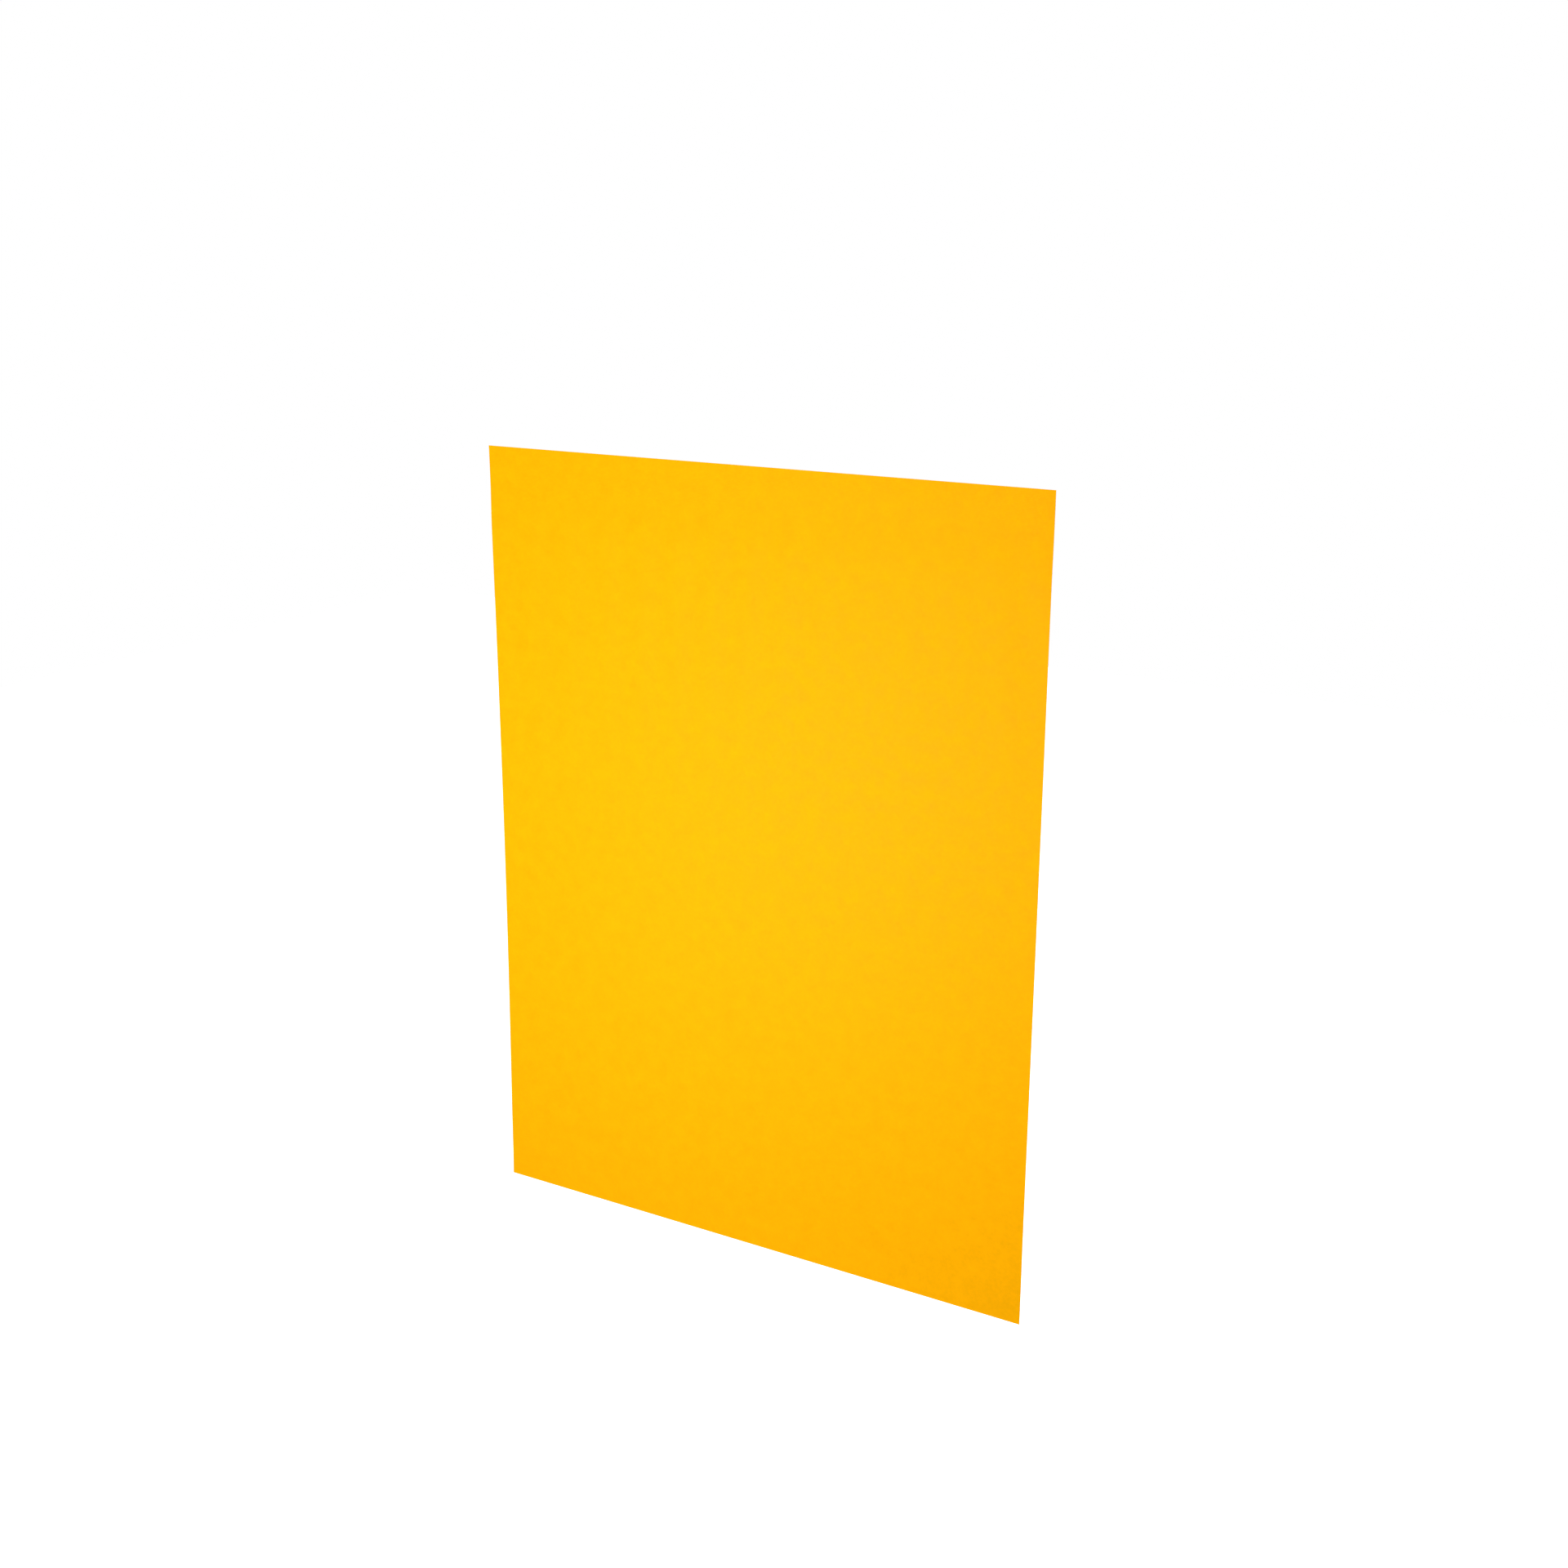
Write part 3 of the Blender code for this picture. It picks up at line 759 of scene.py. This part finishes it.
def makeBars(aluminium, steel):
    holes = []
    for i in range(1, 2 * hookCount + 1):
        low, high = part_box(f"hook_screw_{i}")
        start = barHigh.y - bar["holeDepth"]
        hole = peg(bar["holeRadius"], start, barHigh.y + bar["holeDepth"])
        placed(hole, turn=math.pi / 2, axis="Z")
        holes.append(placed(hole, (middleX(f"hook_screw_{i}"), 0, (low.z + high.z) / 2)))
    top = joined("topBar", soften(block(barLow, barHigh), bar["round"], segments=3), cut=holes)
    addPiece("topBar", top, aluminium, "curtain", "top_bar")
    weight = toMesh(soften(block(weightLow, weightHigh), bar["round"], segments=3), "weightBar")
    addPiece("weightBar", weight, steel, "curtain", "weight_bar")


# Rail and its plugs

rail = {"wall": 0.0026, "endRound": 0.0005, "sides": 128}
plug = {
    "stem": 0.022,
    "head": 0.003,
    "crown": 0.0016,
    "barbs": 4,
    "barbDepth": 0.0004,
    "barbTop": 0.7,  # share of a barb's pitch at which it is widest
}


def makeRail(steel):
    tube = ring(railRadius - rail["wall"], railRadius, tubeHigh.x - tubeLow.x, rail["sides"])
    mesh = toMesh(soften(tube, rail["endRound"]), "railTube")
    mesh.transform(Matrix.Translation(onRail(0)))
    addPiece("railTube", mesh, steel, "rail", "rail_tube")


def makePlugs(nylon):
    bore = railRadius - rail["wall"] - gap
    profile = [(-plug["stem"], 0), (-plug["stem"], bore - 2 * plug["barbDepth"])]
    pitch = plug["stem"] / (plug["barbs"] + 1)
    for i in range(plug["barbs"]):
        start = i * pitch - plug["stem"]
        profile.append((start + pitch * plug["barbTop"], bore))
        profile.append((start + pitch, bore - plug["barbDepth"]))
    profile += [(gap, bore - plug["barbDepth"]), (gap, railRadius)]
    profile += [(gap + plug["head"], railRadius), (gap + plug["head"], 0)]

    def onHead(edge):
        return min(vert.co.x for vert in edge.verts) > plug["head"] / 2

    for side, name, end in ((-1, "left", tubeLow.x), (1, "right", tubeHigh.x)):
        bm = soften(spun(profile, railSides), plug["crown"], 5, onHead)
        if side < 0:
            placed(bm, turn=math.pi, axis="Z")
        mesh = toMesh(bm, "railPlug")
        mesh.transform(Matrix.Translation(onRail(end)))
        addPiece(
            "railPlug" + name.title(), mesh, nylon, "rail", "rail_plug_" + name
        )


# Stop collars

collar = {
    "wall": 0.0046,
    "width": 0.012,
    "round": 0.0007,
    "grubRadius": 0.0022,
    "grubTurn": math.radians(-135),
    "grubSocket": 0.0025,
    "grubSocketDepth": 0.0022,
    "grubRound": 0.0003,
}


def makeCollars(zinc, blackSteel):
    inner = railRadius + gap
    outer = inner + collar["wall"]
    body = soften(ring(inner, outer, collar["width"]), collar["round"])
    hole = peg(collar["grubRadius"] + gap / 2, inner - gap, outer + gap)
    mesh = joined("stopCollar", body, cut=[upright(hole, collar["grubTurn"])])
    top = outer - gap
    socket = hexSocket(collar["grubSocket"], top, collar["grubSocketDepth"])
    grub = soften(peg(collar["grubRadius"], inner, top), collar["grubRound"])
    grubMesh = joined("collarGrub", upright(grub), cut=[upright(socket)])
    for name in ("left", "right"):
        place = onRail(middleX("stop_collar_" + name))
        title = name.title()
        addPiece(
            "stopCollar" + title, copyAt(mesh, place), zinc, "rail",
            "stop_collar_" + name,
        )
        addPiece(
            "collarGrub" + title, copyAt(grubMesh, place, collar["grubTurn"]), blackSteel,
            "rail", "collar_grub_screw_" + name,
        )


# Wall brackets

bracket = {
    "plateWidth": 0.070,
    "plateHeight": 0.110,
    "plateThickness": 0.005,
    "plateCorner": 0.007,
    "round": 0.0007,
    "railRise": 0.042,
    "holeRadius": 0.0045,
    "holeEdge": 0.012,
    "holeChamfer": 0.0008,
    "ringWidth": 0.030,
    "ringWall": 0.004,
    "webThickness": 0.008,
    "webRise": 0.006,
    "webDrop": 0.046,
    "noseWidth": 0.024,
    "noseThickness": 0.004,
    "noseCorner": 0.0012,
    "bossRadius": 0.0058,
    "bossRise": 0.002,
    "bossRound": 0.0006,
    "bossSides": 48,
    "ringRound": 0.0009,
    "webUnder": 0.002,  # how far behind the rail's axis the web's top begins to slope
    "holeSides": 40,
}
bead = {
    "radius": 0.0024,
    "pitch": 0.0026,
    "ripple": 0.12,
    "rippleSteps": 4,
    "sides": 14,
    "plateEnd": 0.002,  # left free at each end of a bead on the plate
    "noseEnd": 0.0015,
}


def weldBead(length):
    # A rippled bead up the Z axis from z = 0, narrower at its ends
    steps = bead["rippleSteps"]
    count = steps * round(length / bead["pitch"])
    profile = [(0, 0)]
    for i in range(count + 1):
        taper = 0.5 + 0.5 * easeIn(min(i, count - i) / steps)
        dip = bead["ripple"] if i % steps == 0 else 0
        profile.append((length * i / count, bead["radius"] * taper * (1 - dip)))
    return upright(spun(profile + [(length, 0)], bead["sides"]))


def makeBrackets(zinc):
    # The bracket's shape is placed from the rail's axis, with +Y into the wall
    padLow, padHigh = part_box("bumper_centre")
    plateFace = -railY - bracket["plateThickness"]
    plateTop = bracket["plateHeight"] / 2 - bracket["railRise"]
    plateFoot = plateTop - bracket["plateHeight"]
    half = bracket["plateWidth"] / 2
    plate = block((-half, plateFace, plateFoot), (half, -railY, plateTop))
    soften(plate, bracket["plateCorner"], 6, along(1))
    soften(plate, bracket["round"])

    ringBore = railRadius + gap
    ringRadius = ringBore + bracket["ringWall"]
    ringHalf = bracket["ringWidth"] / 2
    eye = soften(peg(ringRadius, -ringHalf, ringHalf, railSides), bracket["ringRound"])
    bossTop = ringRadius + bracket["bossRise"]
    boss = peg(bracket["bossRadius"], ringBore, bossTop, bracket["bossSides"])
    soften(boss, bracket["bossRound"])
    upright(boss, setScrew["turn"])

    padBack = padLow.y + bumper["thickness"] - railY
    noseFront = padBack + gap
    noseLow, noseHigh = padLow.z - railZ, padHigh.z - railZ
    nose = block(
        (-bracket["noseWidth"] / 2, noseFront, noseLow - gap),
        (bracket["noseWidth"] / 2, noseFront + bracket["noseThickness"], noseHigh + gap),
    )
    soften(nose, bracket["noseCorner"], 3, along(1))
    soften(nose, bracket["round"])

    insideNose = noseFront + bracket["noseThickness"] / 2
    insidePlate = plateFace + bracket["plateThickness"] / 2
    web = acrossX(
        [
            (insideNose, noseLow + gap),
            (insidePlate, -bracket["webDrop"]),
            (insidePlate, bracket["webRise"]),
            (bracket["webUnder"], bracket["webRise"]),
            (insideNose, noseHigh - gap),
        ],
        bracket["webThickness"],
    )
    soften(web, bracket["round"])

    beads = []
    side = bracket["webThickness"] / 2
    for x in (-side, side):
        for y, low, high, end in (
            (plateFace, -bracket["webDrop"], bracket["webRise"], bead["plateEnd"]),
            (noseFront + bracket["noseThickness"], noseLow, noseHigh, bead["noseEnd"]),
        ):
            beads.append(placed(weldBead(high - low - 2 * end), (x, y, low + end)))

    holes = []
    across = half - bracket["holeEdge"]
    upper = plateTop - bracket["holeEdge"]
    lower = plateFoot + bracket["holeEdge"]
    radius, chamfer = bracket["holeRadius"], bracket["holeChamfer"]
    for x, z in ((-across, upper), (across, upper), (0, lower)):
        hole = spun(
            [
                (-gap, 0),
                (-gap, radius + chamfer + gap),
                (chamfer, radius),
                (bracket["plateThickness"] + gap, radius),
                (bracket["plateThickness"] + gap, 0),
            ],
            bracket["holeSides"],
        )
        placed(hole, turn=math.pi / 2, axis="Z")
        holes.append(placed(hole, (x, plateFace, z)))
    bore = peg(ringBore, -bracket["ringWidth"], bracket["ringWidth"], railSides)
    screwHole = peg(setScrew["radius"] + gap / 2, setScrew["holeStart"], bossTop + gap)
    upright(screwHole, setScrew["turn"])
    stemHole = peg(bumper["stemRadius"] + gap, -gap, bumper["stemLength"] + gap)
    placed(stemHole, turn=math.pi / 2, axis="Z")
    placed(stemHole, (0, noseFront - gap / 2, (noseLow + noseHigh) / 2))
    steel = [web, nose, eye, boss] + beads
    mesh = joined("wallBracket", plate, steel, [bore, screwHole, stemHole] + holes)
    for name in ("left", "centre", "right"):
        place = onRail(middleX("wall_bracket_" + name))
        addPiece(
            "wallBracket" + name.title(), copyAt(mesh, place), zinc, "rail",
            "wall_bracket_" + name,
        )


# Screws

setScrew = {
    "turn": math.radians(-45),
    "radius": 0.0027,
    "holeStart": 0.002,  # from the rail's axis, inside the ring's bore
    "shankRound": 0.0002,
    "headRadius": 0.0048,
    "headHeight": 0.004,
    "headRound": 0.0005,
    "ridges": 36,
    "ridgeDepth": 0.00016,
    "socket": 0.005,
    "socketDepth": 0.0024,
}
hookScrew = {
    "radius": 0.0022,
    "tipLength": 0.001,
    "tipNarrow": 0.6,  # share of the shank's radius
    "headRadius": 0.004,
    "headHeight": 0.0024,
    "headFlat": 0.5,  # share of the head's radius
    "crownSteps": 8,
    "sides": 40,
    "socket": 0.003,
    "socketDepth": 0.0014,
}


def makeSetScrews(blackSteel):
    seat = railRadius + gap + bracket["ringWall"] + bracket["bossRise"] + gap
    length = bracket["ringWall"] + bracket["bossRise"] + gap
    top = setScrew["headHeight"]
    head = peg(setScrew["headRadius"], 0, top, 2 * setScrew["ridges"])
    for vert in head.verts:
        turn = math.atan2(vert.co.y, vert.co.z) / (2 * math.pi) * 2 * setScrew["ridges"]
        if vert.co.yz.length > setScrew["headRadius"] / 2 and round(turn) % 2:
            inwards = 1 - setScrew["ridgeDepth"] / setScrew["headRadius"]
            vert.co.y *= inwards
            vert.co.z *= inwards

    def rim(edge):
        return abs(edge.verts[0].co.x - edge.verts[1].co.x) < gap and edge.verts[0].co.x > top / 2

    soften(head, setScrew["headRound"], only=rim)
    shank = soften(peg(setScrew["radius"], -length, gap), setScrew["shankRound"], segments=1)
    socket = hexSocket(setScrew["socket"], top, setScrew["socketDepth"])
    mesh = joined("setScrew", upright(head), [upright(shank)], [upright(socket)])
    lean = Matrix.Rotation(setScrew["turn"], 3, "X").col[2]
    for name in ("left", "centre", "right"):
        place = onRail(middleX("rail_set_screw_" + name)) + lean * seat
        addPiece(
            "railSetScrew" + name.title(), copyAt(mesh, place, setScrew["turn"]), blackSteel,
            "rail", "rail_set_screw_" + name,
        )


def makeHookScrews(zinc):
    # Button heads, with the head's foot at x = 0 and its crown towards +X
    low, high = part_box("hook_screw_1")
    top = hookScrew["headHeight"]
    length = high.y - low.y - top
    radius = hookScrew["radius"]
    flat = hookScrew["headFlat"]
    profile = [(-length, 0), (-length, radius * hookScrew["tipNarrow"])]
    profile += [(-length + hookScrew["tipLength"], radius), (0, radius)]
    for i in range(hookScrew["crownSteps"] + 1):
        a = math.radians(90 * i / hookScrew["crownSteps"])
        width = hookScrew["headRadius"] * (flat + (1 - flat) * math.cos(a))
        profile.append((top * math.sin(a), width))
    body = spun(profile + [(top, 0)], hookScrew["sides"])
    socket = hexSocket(hookScrew["socket"], top, hookScrew["socketDepth"])
    mesh = joined("hookScrew", upright(body), cut=[upright(socket)])
    for i in range(1, 2 * hookCount + 1):
        low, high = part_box(f"hook_screw_{i}")
        place = Vector((middleX(f"hook_screw_{i}"), high.y - top, (low.z + high.z) / 2))
        addPiece(
            f"hookScrew{i}", copyAt(mesh, place, -math.pi / 2), zinc, "curtain",
            f"hook_screw_{i}",
        )


# Bumpers

bumper = {
    "width": 0.022,
    "thickness": 0.0042,
    "stemRadius": 0.003,
    "stemLength": 0.005,
    "stemSunk": 0.001,
    "stemRound": 0.0004,
    "ribs": 5,
    "ribDepth": 0.0008,
    "ribSteps": 8,
    "round": 0.0007,
}


def makeBumpers(rubber):
    # A ribbed pad with a stem that is pushed into the bracket's nose
    low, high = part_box("bumper_centre")
    front = low.y
    back = low.y + bumper["thickness"]
    ribHeight = (high.z - low.z) / bumper["ribs"]
    outline = [(back, high.z), (back, low.z)]
    for i in range(bumper["ribs"]):
        for step in range(bumper["ribSteps"] + 1):
            a = math.pi * step / bumper["ribSteps"]
            z = low.z + ribHeight * (i + 0.5 - 0.5 * math.cos(a))
            if step or not i:
                outline.append((front + bumper["ribDepth"] * (1 - math.sin(a)), z))

    def atSides(edge):
        return not along(0)(edge)

    pad = soften(acrossX(outline, bumper["width"]), bumper["round"], 3, atSides)
    stem = peg(bumper["stemRadius"], -bumper["stemSunk"], bumper["stemLength"])
    soften(stem, bumper["stemRound"])
    placed(stem, turn=math.pi / 2, axis="Z")
    placed(stem, (0, back, (low.z + high.z) / 2))
    mesh = joined("bumper", pad, [stem])
    for name in ("left", "centre", "right"):
        place = Vector((middleX("bumper_" + name), 0, 0))
        addPiece(
            "bumper" + name.title(), copyAt(mesh, place), rubber, "rail",
            "bumper_" + name,
        )


# Sleeves and hooks

sleeve = {
    "clearance": 0.0004,
    "wall": 0.003,
    "flange": 0.0025,
    "flangeShy": 0.0007,  # how far a flange stays below the hook's outside
    "round": 0.0005,
}
hook = {
    "width": 0.025,
    "thickness": 0.003,
    "wrap": math.radians(260),
    "steps": 52,
    "footCorner": 0.004,
    "tipCorner": 0.0011,
    "round": 0.0004,
}


def makeSleeves(nylon):
    bore = railRadius + sleeve["clearance"]
    outer = bore + sleeve["wall"]
    flange = outer + gap + hook["thickness"] - sleeve["flangeShy"]
    half = hook["width"] / 2 + gap + sleeve["flange"]
    inner = half - sleeve["flange"]
    profile = [
        (-half, bore), (half, bore), (half, flange), (inner, flange),
        (inner, outer), (-inner, outer), (-inner, flange), (-half, flange),
    ]
    body = soften(spun(profile, railSides, True), sleeve["round"], segments=3)
    mesh = toMesh(body, "railSleeve")
    for i in range(1, hookCount + 1):
        place = onRail(middleX(f"rail_sleeve_{i}"))
        addPiece(
            f"railSleeve{i}", copyAt(mesh, place), nylon, "sleeves",
            f"rail_sleeve_{i}",
        )


def makeHooks(stainless):
    # A strip section at the foot of the leg, drawn up and then bent round the sleeve
    inner = railRadius + sleeve["clearance"] + sleeve["wall"] + gap
    outer = inner + hook["thickness"]
    foot = barLow.z - railZ
    half = hook["width"] / 2
    bm = bmesh.new()
    corners = [(-half, -outer), (half, -outer), (half, -inner), (-half, -inner)]
    section = bm.faces.new([bm.verts.new((x, y, foot)) for x, y in corners])
    drawn = bmesh.ops.extrude_face_region(bm, geom=[section])["geom"]
    fresh = [v for v in drawn if isinstance(v, bmesh.types.BMVert)]
    bmesh.ops.translate(bm, vec=(0, 0, -foot), verts=fresh)
    caps = [f for f in drawn if isinstance(f, bmesh.types.BMFace)]
    end = next(f for f in caps if abs(f.normal.z) > sameWay)
    bmesh.ops.spin(
        bm,
        geom=[end] + end.verts[:] + end.edges[:],
        cent=(0, 0, 0),
        axis=(-1, 0, 0),
        angle=hook["wrap"],
        steps=hook["steps"],
    )
    bmesh.ops.remove_doubles(bm, verts=bm.verts, dist=mergeDistance)
    bmesh.ops.recalc_face_normals(bm, faces=bm.faces)
    tip = Matrix.Rotation(-hook["wrap"], 3, "X") @ Vector((0, -1, 0))

    def footCorner(edge):
        return along(1)(edge) and edge.verts[0].co.z < foot + gap

    def tipCorner(edge):
        way = (edge.verts[1].co - edge.verts[0].co).normalized()
        return abs(way.dot(tip)) > sameWay

    soften(bm, hook["footCorner"], 6, footCorner)
    soften(bm, hook["tipCorner"], 4, tipCorner)
    soften(bm, hook["round"])
    low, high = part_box("hook_screw_1")
    screwZ = (low.z + high.z) / 2 - railZ
    holes = []
    for i in (1, 2):
        hole = peg(hookScrew["radius"] + gap, -outer - gap, -inner + gap)
        placed(hole, turn=math.pi / 2, axis="Z")
        offset = middleX(f"hook_screw_{i}") - middleX("hanger_hook_1")
        holes.append(placed(hole, (offset, 0, screwZ)))
    mesh = joined("hangerHook", bm, cut=holes)
    for i in range(1, hookCount + 1):
        place = onRail(middleX(f"hanger_hook_{i}"))
        addPiece(
            f"hangerHook{i}", copyAt(mesh, place), stainless, "curtain",
            f"hanger_hook_{i}",
        )


# Floor, light and camera

studio = {
    "floorDrop": 0.25,
    "floorSize": 14,
    "lens": 45.56,
    "sensor": 36,
    "cameraPlace": (2.158, -3.64825, 0.58),
    "cameraTurn": 30.31,
    "cameraDip": 16.03,
    "cameraRoll": 0.39,
    "fill": 0.474,  # the surroundings as they light a surface
    "gloss": 0.25,  # and as it reflects them
}
lights = {
    "key": {
        "place": (-0.09, -2.66, -0.87),
        "target": (-1.0, -0.1, 0.4),
        "size": (1.43, 1.54),
        "watts": 69.5,
        "glossy": False,
    },
    "sheen": {
        "place": (-0.87, -2.66, -1.19),
        "target": (0.3, -0.1, -0.45),
        "size": (0.75, 1.0),
        "watts": 55,
        "diffuse": False,
    },
    "back": {
        "place": (1.2, 2.2, 1.4),
        "target": (0.0, 0.0, -0.2),
        "size": (1.6, 1.6),
        "watts": 70,
    },
}
white = (1, 1, 1, 1)


def makeFloor():
    bm = bmesh.new()
    bmesh.ops.create_grid(bm, x_segments=1, y_segments=1, size=studio["floorSize"] / 2)
    bmesh.ops.translate(bm, vec=(0, 0, sheetLow.z - studio["floorDrop"]), verts=bm.verts)
    mesh = bpy.data.meshes.new("floor")
    bm.to_mesh(mesh)
    bm.free()
    floor = bpy.data.objects.new("floor", mesh)
    scene.collection.objects.link(floor)
    paint, _, shader, _ = startMaterial("floorPaint", 0.0, 0.0)
    shader.inputs["Emission Color"].default_value = white
    shader.inputs["Emission Strength"].default_value = 1.0
    mesh.materials.append(paint)
    floor.visible_diffuse = False
    floor.visible_glossy = False
    floor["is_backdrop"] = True


def makeWorld():
    world = bpy.data.worlds.new("studio")
    scene.world = world
    world.use_nodes = True
    tree = world.node_tree
    backdrop = makeNode(tree, "ShaderNodeBackground", {"Color": white, "Strength": 1.0})
    fill = makeNode(tree, "ShaderNodeBackground", {"Color": white})
    ray = tree.nodes.new("ShaderNodeLightPath")
    strength = spread(tree, ray.outputs["Is Glossy Ray"], studio["fill"], studio["gloss"], 0, 1)
    tree.links.new(strength, fill.inputs["Strength"])
    both = makeNode(
        tree,
        "ShaderNodeMixShader",
        {0: ray.outputs["Is Camera Ray"], 1: fill.outputs[0], 2: backdrop.outputs[0]},
    )
    tree.links.new(both.outputs[0], tree.nodes["World Output"].inputs["Surface"])


def addLight(name, place, target, size, watts, diffuse=True, glossy=True):
    lamp = bpy.data.lights.new(name, "AREA")
    lamp.shape = "RECTANGLE"
    lamp.size, lamp.size_y = size
    lamp.energy = watts
    light = bpy.data.objects.new(name, lamp)
    light.location = place
    aim = Vector(target) - Vector(place)
    light.rotation_euler = aim.to_track_quat("-Z", "Y").to_euler()
    light.visible_camera = False
    light.visible_diffuse = diffuse
    light.visible_glossy = glossy
    scene.collection.objects.link(light)


def addCamera():
    lens = bpy.data.cameras.new("camera")
    lens.lens = studio["lens"]
    lens.sensor_width = studio["sensor"]
    camera = bpy.data.objects.new("camera", lens)
    turn = Matrix.Rotation(math.radians(studio["cameraTurn"]), 4, "Z")
    dip = Matrix.Rotation(math.radians(90 - studio["cameraDip"]), 4, "X")
    roll = Matrix.Rotation(math.radians(studio["cameraRoll"]), 4, "Z")
    camera.matrix_world = Matrix.Translation(studio["cameraPlace"]) @ turn @ dip @ roll
    scene.collection.objects.link(camera)
    scene.camera = camera


clothFabric = clothFinish()
galvanisedSteel = galvanisedFinish()
zincPlate = zincFinish()
stainlessSteel = stainlessFinish()
blackSteel = blackSteelFinish()
millAluminium = aluminiumFinish()
blackNylon = nylonFinish()
greyRubber = rubberFinish()
print("materials made")

curtain = makeSheet(clothFabric)
makeHems(clothFabric)
makePockets(clothFabric)
makeBars(millAluminium, galvanisedSteel)
print("curtain made")

makeRail(galvanisedSteel)
makePlugs(blackNylon)
makeCollars(zincPlate, blackSteel)
makeBrackets(zincPlate)
makeSetScrews(blackSteel)
makeBumpers(greyRubber)
print("rail and brackets made")

makeSleeves(blackNylon)
makeHooks(stainlessSteel)
makeHookScrews(zincPlate)
print("sleeves and hooks made")

makeFloor()
makeWorld()
for name, light in lights.items():
    addLight(name, **light)
addCamera()
scene.view_settings.view_transform = "Standard"
print("studio made")

sizes = {"cad": cadBounds, "visual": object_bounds()}
{name: [list(corner) for corner in box] for name, box in sizes.items()}
